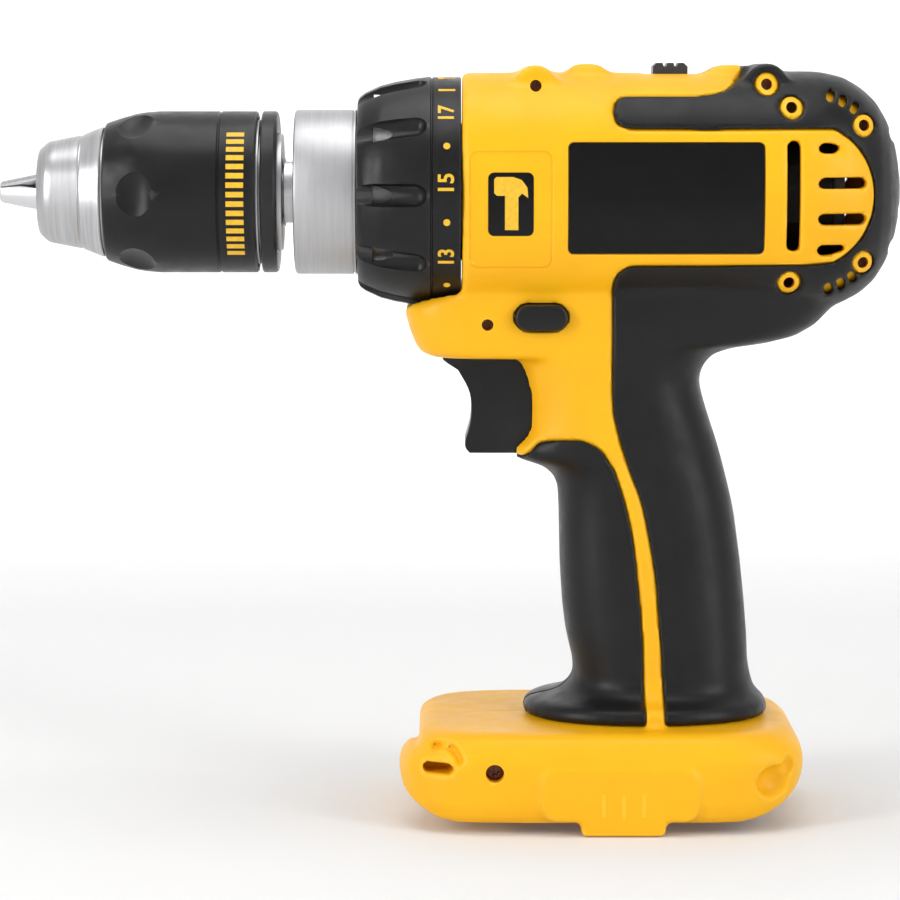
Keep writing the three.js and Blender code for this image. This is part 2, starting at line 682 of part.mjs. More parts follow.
function planetPlace(k) {
  const angle = (2 * Math.PI * k) / planetCount;
  return new THREE.Vector2(Math.cos(angle), Math.sin(angle)).multiplyScalar(centreDistance);
}
function planet(k, x0) {
  const angle = (2 * Math.PI * k) / planetCount;
  const phase = angle - Math.PI / planetTeeth;
  const teeth = gearOutline(planetTeeth, planetPitch, addendum, dedendum, phase);
  const centre = planetPlace(k);
  const outline = teeth.map((p) => p.add(centre));
  return crossPlate(outline, x0, x0 + planetWidth, [circle(pinRadius + gap, 12, centre)]);
}
// With an odd number of planet teeth a gap of the sun, not a tooth, faces the first planet.
function sun(x0, x1) {
  const phase = planetTeeth % 2 ? Math.PI / sunTeeth : 0;
  return crossPlate(gearOutline(sunTeeth, sunPitch, addendum, dedendum, phase), x0, x1);
}
function ringGear(x0, x1, outer) {
  const inside = gearOutline(ringTeeth, ringPitch, dedendum, addendum, Math.PI / ringTeeth, 0.6);
  return crossPlate(circle(outer, 33), x0, x1, [inside]);
}
function carrier(plateFront, plateRear, pinEnd) {
  const radius = ringPitch - addendum - 1.4;
  const plate = rodAbout(plateFront, plateRear, radius, 30);
  const pins = Array.from({ length: planetCount }, (_, k) =>
    crossPlate(circle(pinRadius, 12, planetPlace(k)), plateRear - 0.5, pinEnd));
  return join([plate, ...pins]);
}
const stageOne = { plate: 33.4, planets: 38.6 };   // stage next to the motor
const stageTwo = { plate: 11.2, planets: 18 };     // stage next to the spindle
const plateWidth = 4.6;

function outputCarrier() {
  const pins = carrier(stageTwo.plate, stageTwo.plate + plateWidth,
    stageTwo.planets + planetWidth + 0.8);
  return pins;
}
function inputCarrier() {
  const front = stageTwo.planets - 0.6;
  const pins = carrier(stageOne.plate, stageOne.plate + plateWidth,
    stageOne.planets + planetWidth + 0.8);
  return pins.add(sun(front, stageOne.plate + 0.5));
}
const fixedRing = () => ringGear(16.6, 28.6, ringRadius + runningGap - gap);
const shiftingRing = () => ringGear(31, 45, ringRadius - 0.6);
function gearcase() {
  const inside = gearcaseRadius - gearcaseWall;
  const shell = turned([
    [6.8, inside], [6.8, gearcaseRadius], [motorFront - 0.6, gearcaseRadius],
    [motorFront - 0.6, 8], [motorFront - 3, 8], [motorFront - 3, inside],
  ], 28);
  const slot = box(at(35.6, -3, spindleHeight + inside - 3), at(46, 3, spindleHeight + 40));
  return shell.subtract(slot);
}

// ---------------------------------------------------------------- motor
const motorRear = motorFront + motorLength;
const canInside = motorRadius - motorWall;
const magnetInside = canInside - 0.2 - 3.2;
const armatureRadius = magnetInside - 0.6;
function motorCan() {
  return turned([
    [motorFront, 6], [motorFront, motorRadius], [motorRear, motorRadius],
    [motorRear, canInside], [motorFront + 1.6, canInside], [motorFront + 1.6, 6],
  ], 26);
}
function magnet(side) {
  const start = side * Math.PI / 2 - 1.15;
  const arc = (radius, from, to) => Array.from({ length: 11 }, (_, k) => {
    const angle = from + ((to - from) * k) / 10;
    return new THREE.Vector2(Math.cos(angle), Math.sin(angle)).multiplyScalar(radius);
  });
  const outline = [...arc(canInside - gap, start, start + 2.3),
    ...arc(magnetInside, start + 2.3, start)];
  return crossPlate(outline, motorFront + 13, motorRear - 7);
}
function armature() {
  const core = rodAbout(motorFront + 14, motorRear - 12, armatureRadius, 27);
  const slots = Array.from({ length: 9 }, (_, k) => {
    const angle = (2 * Math.PI * k) / 9;
    const outline = circle(1.9, 6, new THREE.Vector2(armatureRadius - 0.6, 0))
      .map((p) => p.rotateAround(new THREE.Vector2(), angle));
    return crossPlate(outline, motorFront, motorRear);
  });
  const windings = rodAbout(motorFront + 12, motorRear - 10, armatureRadius - 4.2, 18);
  return cut(core, slots).add(windings).subtract(rodAbout(0, 200, shaftRadius + 0.05 + gap, 12));
}
function motorShaft() {
  const rod = rodAbout(stageOne.planets + planetWidth + 1, motorRear + 5, shaftRadius, 12);
  return rod.add(sun(stageOne.planets - 0.2, stageOne.planets + planetWidth + 1.2));
}
function commutator() {
  const body = ringAbout(motorRear - 9.4, motorRear - 2.2, shaftRadius + 0.05 + gap, 6.2, 18);
  const slots = Array.from({ length: 9 }, (_, k) => {
    const tool = new THREE.BoxGeometry(5, 1.2, 0.5).translate(motorRear - 1.5, 6.2, 0);
    return closedSolid(tool.rotateX((2 * Math.PI * k) / 9).translate(0, 0, spindleHeight));
  });
  return cut(body, slots);
}
function fan() {
  const hub = ringAbout(motorFront + 3, motorFront + 9.5, shaftRadius + 0.05 + gap, 5.5, 18);
  const disc = ringAbout(motorFront + 8, motorFront + 9.5, 4, canInside - 1.2, 24);
  const blades = Array.from({ length: 7 }, (_, k) => {
    const tool = new THREE.BoxGeometry(6, canInside - 6.5, 0.9);
    tool.translate(motorFront + 6, (canInside - 6.5) / 2 + 4.6, 0);
    return closedSolid(tool.rotateX((2 * Math.PI * (k + 0.25)) / 7).translate(0, 0, spindleHeight));
  });
  return join([hub, disc, ...blades]);
}
function brushHolder() {
  const disc = ringAbout(motorRear + gap, motorRear + 3.2, shaftRadius + gap, motorRadius - 0.4, 24);
  const windows = [-1, 1].map((side) => crossPlate(
    circle(4, 6, new THREE.Vector2(side * 12.5, 0)), motorRear, motorRear + 4));
  return cut(disc, windows);
}
function brush(side) {
  const near = side * (6.2 + runningGap);
  const far = side * (canInside - 2);
  return box(
    at(motorRear - 7.4, Math.min(near, far), spindleHeight - 3),
    at(motorRear - 2.6, Math.max(near, far), spindleHeight + 3));
}

// ---------------------------------------------------------------- electrics
const switchFront = triggerRear + triggerTravel + 0.7;
function switchModule() {
  const body = box(at(switchFront, -11.5, lift(104.5)), at(62, 11.5, lift(126)));
  const cap = box(at(38, -9, lift(125)), at(56, 9, lift(128.5)));
  return body.add(cap);
}
function terminalBlock() {
  const block = box(at(41, -11, lift(92)), at(66, 11, lift(99.4)));
  const slots = [-7, 7].map((y) => box(at(44, y - 1.3, lift(80)), at(64, y + 1.3, lift(96))));
  return cut(block, slots);
}
const contact = (y) => box(at(46, y - 0.6, lift(83)), at(60, y + 0.6, lift(95.6)));
function twinLead(points) {
  const route = new THREE.CatmullRomCurve3(points);
  const section = new THREE.Shape(circle(1, 8).map((p) => new THREE.Vector2(0.9 * p.x, 2.2 * p.y)));
  return closedSolid(new THREE.ExtrudeGeometry(section, {
    steps: 10, bevelEnabled: false, extrudePath: route,
  }));
}
const batteryLead = () => twinLead([
  at(63.8, 0, lift(99.9)), at(63.9, 0, lift(102)), at(65, 0, lift(108)), at(64.9, 0, lift(112.5)),
  at(64.2, 0, lift(115)), at(63.1, 0, lift(115.7)),
]);
const motorBelly = spindleHeight - motorRadius;
const motorLead = () => twinLead([
  at(52, 0, lift(129.2)), at(52.5, 0, lift(131.5)), at(60, 0, lift(137.5)),
  at(74, 0, motorBelly - 6.8), at(88, 0, motorBelly - 3.8), at(100, 0, motorBelly - 3.4),
  at(105, 0, motorBelly - 2.6), at(105.4, 0, motorBelly - 0.6),
]);

// ---------------------------------------------------------------- assembly
const group = new THREE.Group();
function add(name, solid, color, roughness, metalness) {
  const material = new THREE.MeshStandardMaterial({ color, roughness, metalness });
  const mesh = new THREE.Mesh(geometryOf(solid), material);
  mesh.name = name;
  group.add(mesh);
}
const yellow = [0xf2b211, 0.5, 0];
const rubber = [0x1b1b1d, 0.75, 0];
const blackPlastic = [0x1d1d1f, 0.5, 0];
const steel = [0xb9bbbd, 0.3, 1];
const darkSteel = [0x6b6d70, 0.4, 1];
const copper = [0xb87333, 0.4, 1];

const shell = housing();
add("housing_left", shell.intersect(leftHalf), ...yellow);
add("housing_right", shell.intersect(rightHalf), ...yellow);
add("rear_grip_left", inlay(rearGripOutline(), gripThickness, leftHalf), ...rubber);
add("rear_grip_right", inlay(rearGripOutline(), gripThickness, rightHalf), ...rubber);
add("front_grip_left", inlay(frontGripOutline(), gripThickness, leftHalf), ...rubber);
add("front_grip_right", inlay(frontGripOutline(), gripThickness, rightHalf), ...rubber);
add("nameplate_left", inlay(plateOutline(), plateThickness, leftHalf), ...blackPlastic);
add("nameplate_right", inlay(plateOutline(), plateThickness, rightHalf), ...blackPlastic);
for (const place of screwPlaces()) add(place.name, screwSolid(place), ...darkSteel);

add("trigger", trigger(), ...blackPlastic);
add("direction_button", directionButton(), ...blackPlastic);
add("speed_selector", speedSelector(), ...blackPlastic);
add("clutch_collar", clutchCollar(), ...blackPlastic);

add("chuck_body", chuckBody(), ...steel);
add("chuck_sleeve", chuckSleeve(), ...blackPlastic);
add("chuck_nut", chuckNut(), ...darkSteel);
add("chuck_rear_ring", ringAbout(-51.5, chuckRear, 16 + gap, sleeveRadius, 32), ...blackPlastic);
for (let k = 0; k < 3; k += 1) add(`jaw_${k + 1}`, jaw(k), ...steel);
add("chuck_screw", chuckScrew(), ...darkSteel);

add("gearcase_nose", gearcaseNose(), ...steel);
add("gearcase", gearcase(), ...darkSteel);
add("spindle", spindle(), ...steel);
add("front_bearing", frontBearing(), ...steel);
add("clutch_nut", clutchNut(), ...darkSteel);
add("clutch_spring", clutchSpring(), ...steel);
add("ratchet_fixed", fixedRatchet(), ...darkSteel);
add("ratchet_moving", movingRatchet(), ...darkSteel);

add("ring_gear_fixed", fixedRing(), ...darkSteel);
add("ring_gear_shifting", shiftingRing(), ...darkSteel);
for (let k = 0; k < planetCount; k += 1) {
  add(`output_planet_${k + 1}`, planet(k, stageTwo.planets), ...darkSteel);
  add(`input_planet_${k + 1}`, planet(k, stageOne.planets), ...darkSteel);
}
add("output_carrier", outputCarrier(), ...darkSteel);
add("input_carrier", inputCarrier(), ...darkSteel);

add("motor_can", motorCan(), ...steel);
add("magnet_upper", magnet(1), 0x2c2c2e, 0.8, 0);
add("magnet_lower", magnet(-1), 0x2c2c2e, 0.8, 0);
add("armature", armature(), ...copper);
add("motor_shaft", motorShaft(), ...steel);
add("commutator", commutator(), ...copper);
add("fan", fan(), ...blackPlastic);
add("brush_holder", brushHolder(), ...blackPlastic);
add("brush_left", brush(-1), 0x2a2a2a, 0.9, 0);
add("brush_right", brush(1), 0x2a2a2a, 0.9, 0);

add("switch_module", switchModule(), ...blackPlastic);
add("terminal_block", terminalBlock(), 0x3a3a3c, 0.6, 0);
add("contact_plus", contact(-7), ...copper);
add("contact_minus", contact(7), ...copper);
add("battery_lead", batteryLead(), 0x9c1c14, 0.5, 0);
add("motor_lead", motorLead(), 0x9c1c14, 0.5, 0);

export default group;
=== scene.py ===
# %% [markdown]
# # Cordless hammer drill
#
# A bare 18-volt class hammer drill, seen from its left side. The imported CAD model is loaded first
# as a fixed frame: it gives the place and size of every part, and the bodies that move. The shapes
# that the eye reads are then modelled around it, and each of them rides on the body it belongs to.

# %% Load the frame
import json
import math

import bmesh
import bpy
from mathutils import Matrix, Vector


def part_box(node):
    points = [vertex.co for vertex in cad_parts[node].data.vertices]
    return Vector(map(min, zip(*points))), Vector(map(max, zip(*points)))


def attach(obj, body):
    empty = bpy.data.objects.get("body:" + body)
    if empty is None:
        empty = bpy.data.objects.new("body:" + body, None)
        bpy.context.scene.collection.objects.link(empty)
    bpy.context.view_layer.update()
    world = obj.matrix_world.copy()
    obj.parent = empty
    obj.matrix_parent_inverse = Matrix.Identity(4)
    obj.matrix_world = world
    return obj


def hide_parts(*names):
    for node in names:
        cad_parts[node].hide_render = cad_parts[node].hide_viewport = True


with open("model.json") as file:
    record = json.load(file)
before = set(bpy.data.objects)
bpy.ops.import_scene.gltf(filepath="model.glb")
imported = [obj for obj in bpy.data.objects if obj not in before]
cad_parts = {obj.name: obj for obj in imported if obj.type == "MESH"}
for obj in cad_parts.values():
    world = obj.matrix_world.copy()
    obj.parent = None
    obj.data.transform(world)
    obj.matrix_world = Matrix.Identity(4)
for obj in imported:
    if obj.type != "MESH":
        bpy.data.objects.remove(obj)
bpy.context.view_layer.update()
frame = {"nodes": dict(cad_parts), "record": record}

# %% [markdown]
# ## Sizes taken from the frame
#
# Lengths are written in millimetres, as on a drawing, and turned into metres by one factor. The
# spindle's axis, the collar and the foot come from the boxes of the CAD parts, so nothing has to
# be fitted by eye.

# %% Sizes
MM = 0.001


def span(node, axis):
    low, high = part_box(node)
    return low["xyz".index(axis)] / MM, high["xyz".index(axis)] / MM


AXIS = sum(span("spindle", "z")) / 2
COLLAR_FRONT, COLLAR_REAR = span("clutch_collar", "x")
COLLAR_RADIUS = (span("clutch_collar", "y")[1] - span("clutch_collar", "y")[0]) / 2
NOSE_FRONT = span("gearcase_nose", "x")[0]
NOSE_RADIUS = 22.6
SLEEVE_FRONT = span("chuck_sleeve", "x")[0]
SLEEVE_RADIUS = (span("chuck_sleeve", "z")[1] - span("chuck_sleeve", "z")[0]) / 2
REAR_END = span("rear_grip_left", "x")[1]
BARREL_FRONT = COLLAR_REAR + 0.3
PARTING = 0.15                      # half of the gap between the housing halves
FOOT_TOP = span("rear_grip_left", "z")[0] - 0.3
print("spindle axis at", round(AXIS, 1), "mm, foot top at", round(FOOT_TOP, 1), "mm")

# %% [markdown]
# ## Camera
#
# The view is level with the tool and a little from above, through a long lens, so the side shows
# with hardly any perspective.

# %% Camera
TARGET = Vector((0, 0, 0.1006))
DISTANCE = 1.0
ELEVATION = math.radians(6)
camera = bpy.data.objects.new("camera", bpy.data.cameras.new("camera"))
bpy.context.scene.collection.objects.link(camera)
camera.location = TARGET + DISTANCE * Vector((0, -math.cos(ELEVATION), math.sin(ELEVATION)))
camera.rotation_euler = (math.radians(90) - ELEVATION, 0, 0)
camera.data.lens = 143.9
camera.data.sensor_width = 36
camera.data.clip_start = 0.05
bpy.context.scene.camera = camera
print("camera at", [round(v, 3) for v in camera.location])

# %% [markdown]
# ## Helpers
#
# Some steps come back for nearly every piece: select it alone, name it, put its place into its
# mesh, apply a modifier, cut one shape with another. Each gets a small function, so that the cells
# below read as the steps of the work. In Blender's window these are the same clicks each time.

# %% Selecting and naming
def alone(piece):
    """Leaves object mode with this piece as the only selected one."""
    if bpy.context.mode != "OBJECT":
        bpy.ops.object.mode_set(mode="OBJECT")
    bpy.ops.object.select_all(action="DESELECT")
    piece.select_set(True)
    bpy.context.view_layer.objects.active = piece
    return piece


def named(name):
    piece = bpy.context.active_object
    piece.name = name
    piece.data.name = name
    return alone(piece)


def settle(piece):
    """Moves the piece's place and turn into its mesh."""
    alone(piece)
    bpy.ops.object.transform_apply(location=True, rotation=True, scale=True)
    return piece


def copied(piece, name):
    twin = piece.copy()
    twin.data = piece.data.copy()
    twin.name = twin.data.name = name
    bpy.context.scene.collection.objects.link(twin)
    return alone(twin)


def drop(*pieces):
    for piece in pieces:
        bpy.data.objects.remove(piece)


print("selection helpers ready")


# %% Modifiers and cuts
def modify(piece, kind, **settings):
    """Adds one modifier and applies it."""
    alone(piece)
    modifier = piece.modifiers.new(kind.lower(), kind)
    for key, value in settings.items():
        setattr(modifier, key, value)
    bpy.ops.object.modifier_apply(modifier=modifier.name)
    return piece


def carve(piece, tool, how="DIFFERENCE", keep=False):
    modify(piece, "BOOLEAN", operation=how, solver="MANIFOLD", object=tool)
    if not keep:
        drop(tool)
    return piece


def together(tools):
    """One object of several tools that don't touch, so that they cut in one go."""
    alone(tools[0])
    for tool in tools[1:]:
        tool.select_set(True)
    bpy.ops.object.join()
    return alone(bpy.context.active_object)


print("cutting helpers ready")


# %% Blocks and outlines
def drawn(name, points, edges, faces):
    """A new piece from points in mm, joined by edges or faces, drawn point by point."""
    mesh = bpy.data.meshes.new(name)
    mesh.from_pydata([tuple(v * MM for v in point) for point in points], edges, faces)
    piece = bpy.data.objects.new(name, mesh)
    bpy.context.scene.collection.objects.link(piece)
    return alone(piece)


def facing_out(piece):
    """Turns all faces of the piece that is worked on outwards."""
    bpy.ops.object.mode_set(mode="EDIT")
    bpy.ops.mesh.select_all(action="SELECT")
    bpy.ops.mesh.normals_make_consistent(inside=False)
    bpy.ops.object.mode_set(mode="OBJECT")
    return piece


def extruded(piece, move):
    """Pulls a flat piece out into a block, by a move in mm."""
    bpy.ops.object.mode_set(mode="EDIT")
    bpy.ops.mesh.select_all(action="SELECT")
    bpy.ops.mesh.extrude_region_move(TRANSFORM_OT_translate={"value": [v * MM for v in move]})
    bpy.ops.object.mode_set(mode="OBJECT")
    return facing_out(piece)


def box_piece(low, high, name="block"):
    middle = [(a + b) / 2 * MM for a, b in zip(low, high)]
    bpy.ops.mesh.primitive_cube_add(size=1, location=middle)
    block = named(name)
    block.scale = [(b - a) * MM for a, b in zip(low, high)]
    return settle(block)


def outline_prism(outline, y0, y1, name="prism"):
    """A side outline of x and z in mm, extruded across the tool from y0 to y1."""
    face = drawn(name, [(x, y0, z) for x, z in outline], [], [list(range(len(outline)))])
    return extruded(face, (0, y1 - y0, 0))


print("block helpers ready")


# %% Lofts
def loft(name, ring, stations, axis):
    """Rings drawn one after another: the first is laid down, the others are extruded from it.

    ring holds the unit outline; a station is (place, middle, half, other middle, other half)."""
    flat = {"x": (1, 2), "z": (0, 1)}[axis]
    along = "xyz".index(axis)
    rows = []
    for place, middle_a, half_a, middle_b, half_b in stations:
        row = []
        for a, b in ring:
            point = [0, 0, 0]
            point[along] = place
            point[flat[0]] = middle_a + half_a * a
            point[flat[1]] = middle_b + half_b * b
            row.append(point)
        rows.append(row)
    count = len(ring)
    faces = [[r * count + k, r * count + (k + 1) % count,
              (r + 1) * count + (k + 1) % count, (r + 1) * count + k]
             for r in range(len(rows) - 1) for k in range(count)]
    faces.append(list(range(count))[::-1])
    faces.append([(len(rows) - 1) * count + k for k in range(count)])
    return facing_out(drawn(name, [p for row in rows for p in row], [], faces))


def rounded_ring(count, roundness):
    """A ring between an ellipse (roundness 2) and a box with round corners (5 and more)."""
    def bend(v):
        return math.copysign(abs(v) ** (2 / roundness), v)

    turns = [2 * math.pi * (k + 0.5) / count for k in range(count)]
    return [(bend(math.cos(t)), bend(math.sin(t))) for t in turns]


print("loft helpers ready")


# %% Points of an outline
def smooth_run(points, steps=6):
    """Points on a smooth line through the given ones."""
    run = []
    last = len(points) - 1
    for k in range(last):
        p0, p1, p2, p3 = (Vector(points[min(max(k + i, 0), last)]) for i in (-1, 0, 1, 2))
        square = 2 * p0 - 5 * p1 + 4 * p2 - p3
        cube = 3 * p1 - p0 - 3 * p2 + p3
        for s in range(steps):
            t = s / steps
            run.append(tuple(0.5 * (2 * p1 + (p2 - p0) * t + square * t**2 + cube * t**3)))
    return run + [tuple(points[-1])]


def arc(x, z, radius, start, end, steps=8):
    turns = [math.radians(start + (end - start) * k / steps) for k in range(steps + 1)]
    return [(x + radius * math.cos(t), z + radius * math.sin(t)) for t in turns]


def rounded_box(x0, z0, x1, z1, radius, steps=5):
    corners = [(x1 - radius, z0 + radius, -90), (x1 - radius, z1 - radius, 0),
               (x0 + radius, z1 - radius, 90), (x0 + radius, z0 + radius, 180)]
    return [p for x, z, start in corners for p in arc(x, z, radius, start, start + 90, steps)]


def grown(outline, distance):
    """The outline moved outwards by a distance, or inwards by a negative one."""
    area = sum(a[0] * b[1] - b[0] * a[1] for a, b in zip(outline, outline[1:] + outline[:1]))
    side = math.copysign(1, area)
    moved = []
    for k, here in enumerate(outline):
        before, after = Vector(outline[k - 1]), Vector(outline[(k + 1) % len(outline)])
        into = (Vector(here) - before).normalized()
        out = (after - Vector(here)).normalized()
        mitre = (into + out).normalized()
        reach = distance / max(mitre.dot(into), 0.5)
        moved.append((here[0] + side * mitre.y * reach, here[1] - side * mitre.x * reach))
    return moved


def leaning(outline, x, z, degrees):
    """The outline turned clockwise, with its middle put at x and z."""
    c, s = math.cos(math.radians(degrees)), math.sin(math.radians(degrees))
    return [(px * c + pz * s + x, -px * s + pz * c + z) for px, pz in outline]


print("outline helpers ready")

# %% [markdown]
# ## The body's form
#
# Barrel, chin and handle of the real housing run into each other with soft fillets, because they
# come out of one mould. Three lofts give the three volumes. They are joined, remeshed into even
# quads and faired, which turns the sharp seams between them into those fillets. Sculpting the
# whole form by hand would look as good, but it couldn't follow a changed size.

# %% Stations along the body
BARREL_STATIONS = [                 # x, height above the axis, depth below it, half width
    (BARREL_FRONT, 32.8, 32.4, 31.5), (4.6, 32.8, 32.4, 31.5), (20, 32.8, 32.4, 31.5),
    (60, 32.8, 32.4, 31.5), (84, 32.8, 32.4, 31.5), (94, 33.2, 32.4, 31.0), (101, 33.1, 32.0, 29.8),
    (107.5, 31.7, 30.6, 27.6), (112.5, 28.8, 28.0, 25.0), (116.5, 25.2, 24.5, 21.6),
    (119.6, 20.2, 19.6, 17.2), (121.8, 14.6, 14.0, 12.2), (123.3, 7.6, 7.4, 6.4),
    (REAR_END, 2.5, 2.5, 2.2),
]
HANDLE_STATIONS = [                 # height, front, rear, half width
    (152, 17, 104.5, 21.5), (146, 17, 107.5, 21.5), (141.5, 17, 106.3, 21.5), (136, 17, 101, 21.4),
    (132.8, 17, 95.5, 21.2), (131.0, 17, 88.0, 21.1), (129.8, 16.5, 79.0, 21),
    (128, 15.5, 73.0, 21), (125.1, 18.3, 70.2, 20.6), (121.5, 19.4, 68.9, 20.2),
    (118.7, 20.3, 69.2, 20), (114.6, 20.8, 70.3, 19.8), (108, 20.4, 72.4, 19.6),
    (104.8, 18.9, 73.5, 19.5), (102.6, 15.6, 74.2, 19.4), (100.4, 15.4, 74.8, 19.3),
    (98.6, 19.6, 75.3, 19.2), (96.8, 25.4, 75.8, 19.1), (94.2, 28.6, 76.4, 19.1),
    (90.8, 29.9, 77.3, 19), (84, 30.2, 78.8, 19), (70, 30.5, 80.7, 19.1), (58.5, 31.2, 81.9, 19.4),
    (50, 32.3, 82.6, 19.6), (43, 34.0, 82.9, 19.9), (38, 34.7, 83.2, 20), (32, 35, 83.5, 20),
    (24, 35, 84, 20),
]
CHIN_STATIONS = [
    (152, 0, 60, 18.5), (146, -5.5, 60, 20), (143.6, -9.5, 60, 20.4), (141.4, -12.8, 60, 20.5),
    (139.2, -12.4, 60, 20.5), (134, -10.9, 60, 20.3), (130.4, -9.4, 60, 20),
    (128.4, -8.0, 60, 19.6), (127.2, -4.5, 60, 19),
]
SKIRT_STATIONS = [
    (FOOT_TOP + 0.3, 20.3, 88.3, 28.3), (28.6, 20.1, 88.5, 28.5), (30.4, 20.2, 88.4, 28.4),
    (31.6, 21.2, 87.9, 27.6), (32.4, 24.0, 87.0, 25.8), (33.3, 28.6, 85.8, 23.2),
    (35, 32.0, 84.7, 21.3), (38, 34.2, 83.8, 20.2), (42, 34.4, 83.0, 19.9),
]


# %% Lofted volumes
def upright_loft(name, stations, roundness, count):
    sized = [(z, (front + rear) / 2, (rear - front) / 2, 0, half)
             for z, front, rear, half in stations]
    return loft(name, rounded_ring(count, roundness), sized, "z")


form = loft("body_form", rounded_ring(56, 2.35),
            [(x, 0, half, AXIS + (up - down) / 2, (up + down) / 2)
             for x, up, down, half in BARREL_STATIONS], "x")
for name, stations, roundness in (("handle", HANDLE_STATIONS, 2.6), ("chin", CHIN_STATIONS, 4),
                                  ("skirt", SKIRT_STATIONS, 2.25)):
    carve(form, upright_loft(name, stations, roundness, 64), "UNION")
TOP_BOSSES = ((23.2, 201.2, 5.9), (85.7, 201.4, 6.2))   # x, height, radius round the top screws
HUMPS = ([(29, 200), (31.9, 205), (33.8, 207.0), (35.2, 207.4), (39.8, 207.4), (41.4, 206.8),
          (43.4, 205), (48, 200)],
         [(66, 200), (70.4, 205.2), (73.0, 206.8), (74.5, 207.1), (80.5, 207.0), (83, 206.2),
          (86, 200)])
for x, z, radius in TOP_BOSSES:
    bpy.ops.mesh.primitive_cylinder_add(vertices=40, radius=radius * MM, depth=33 * MM,
                                        location=(x * MM, 0, z * MM),
                                        rotation=(math.radians(90), 0, 0))
    carve(form, settle(named("screw_boss")), "UNION")
for hump in HUMPS:
    carve(form, outline_prism(hump, -9.5, 9.5), "UNION")
print("joined form has", len(form.data.polygons), "faces")

# %% Fair the form
FORM_VOXEL = 1.1


def even(piece, voxel, passes):
    """Remeshes a piece into even quads, then smooths it."""
    modify(piece, "REMESH", mode="VOXEL", voxel_size=voxel * MM)
    return modify(piece, "SMOOTH", factor=0.5, iterations=passes)


even(form, FORM_VOXEL, 9)
print("faired form has", len(form.data.polygons), "faces")


def sunk(depth, name):
    """A copy of the form, drawn in by a depth along its normals."""
    return modify(copied(form, name), "DISPLACE", strength=-depth * MM, mid_level=0)


def across(outline, name="across"):
    """An outline extruded through the whole width of the tool."""
    return outline_prism(outline, -60, 60, name)


# %% [markdown]
# ## Outlines on the side
#
# The rubber, the nameplate and the raised foot of the badge are let into the side along outlines.
# Each outline is drawn once, as the maker's side view has it, and cuts both the yellow housing,
# a little larger, and the piece that lies in it.

# %% Side outlines
STRIP_REAR = smooth_run([(44.1, 135), (44.2, 116), (45.6, 108), (48.8, 97.2), (52.1, 88.5),
                         (54.4, 78), (56.2, 67), (57.2, 56), (58.0, 45), (58.5, 34), (58.6, 24)])
STRIP_FRONT = smooth_run([(44.8, 97), (47.7, 88), (50, 78), (51.4, 67), (52.4, 56), (53.0, 45),
                          (53.3, 34), (53.4, 24)])
WINDOW = arc(94.6, AXIS - 0.3, 20, -64, 64, 20)
REAR_GRIP = (smooth_run([(80.8, 213), (79.9, 207), (77.6, 202.6), (73.8, 199.8), (67, 198.5)])
             + [(56, 198.5)] + arc(47.6, 194.9, 3.6, 90, 180, 8)
             + smooth_run([(44.0, 193.4), (44.9, 191.2), (48.5, 189.8)], 3)
             + [(70, 189.7), (96, 189.9)] + WINDOW[::-1]
             + [(96, 153.3), (70, 153.1)] + arc(50.1, 147, 6.1, 90, 180, 8)
             + STRIP_REAR + [(140, 24), (140, 213)])
FRONT_GRIP = (smooth_run([(14, 99.6), (19.5, 99.6), (22.2, 101.6), (24.6, 104.2), (30.4, 105),
                          (36.6, 104.8), (41.2, 102.2), (44.8, 97)])[:-1]
              + STRIP_FRONT + [(14, 24)])
PLATE = rounded_box(31.8, 156.6, 84.1, 186.3, 1.4, 4)
BADGE = rounded_box(10.2, 161.4, 22.4, 178.4, 1.6, 5)
BADGE_FIELD = rounded_box(5.2, 152.6, 27.4, 184.2, 2.5, 5)
print("rear grip outline has", len(REAR_GRIP), "points, front", len(FRONT_GRIP))

# %% [markdown]
# ## Rubber grips
#
# On the real tool the rubber is moulded over the hard housing, flush with it and about 1.6 mm
# thick. Each half is the form cut to the outline, minus the same form drawn in. A skin made by
# Solidify would do for a simple sheet, but here the outer face has to stay exactly flush. A fine
# remesh and a little smoothing round off the edges, as a rubber moulding has them.

# %% Rubber skins
SKIN = 1.6
RUBBER_VOXEL = 0.62
BOSS_SPOTS = [(85.6, 201.8), (111.6, 190.8), (111.8, 153.8), (91.8, 195.6), (91.6, 148.5)]
REAR_HOLES = [(178.4, 125.0), (167.3, 124.9), (188.3, 121.9), (157.3, 121.9)]     # height, x
REAR_SLOTS = [(102.6, 198.6, 12), (106.0, 197.3, 20), (109.2, 195.4, 32),         # x, height, lean
              (102.6, 146.6, -12), (106.0, 148.0, -20), (109.0, 149.8, -32)]


def rod_across(x, z, radius, y0=-60, y1=60, sides=32, name="rod"):
    bpy.ops.mesh.primitive_cylinder_add(vertices=sides, radius=radius * MM, depth=abs(y1 - y0) * MM,
                                        location=(x * MM, (y0 + y1) / 2 * MM, z * MM),
                                        rotation=(math.radians(90), 0, 0))
    return settle(named(name))


skin_floor = sunk(SKIN, "skin_floor")
rear_rubber = carve(copied(form, "rear_rubber"), across(REAR_GRIP), "INTERSECT")
for z, x in REAR_HOLES:
    carve(rear_rubber, rod_across(x, z, 2.1))
for x, z, lean in REAR_SLOTS:
    carve(rear_rubber, across(leaning(rounded_box(-1.0, -1.7, 1.0, 1.7, 0.8, 4), x, z, lean)))
for x, z in BOSS_SPOTS:
    carve(rear_rubber, rod_across(x, z, 3.2))
carve(rear_rubber, skin_floor, keep=True)
front_rubber = carve(copied(form, "front_rubber"), across(FRONT_GRIP), "INTERSECT")
carve(front_rubber, skin_floor)
print("rubber before its edges are rounded:", len(rear_rubber.data.polygons), "faces")


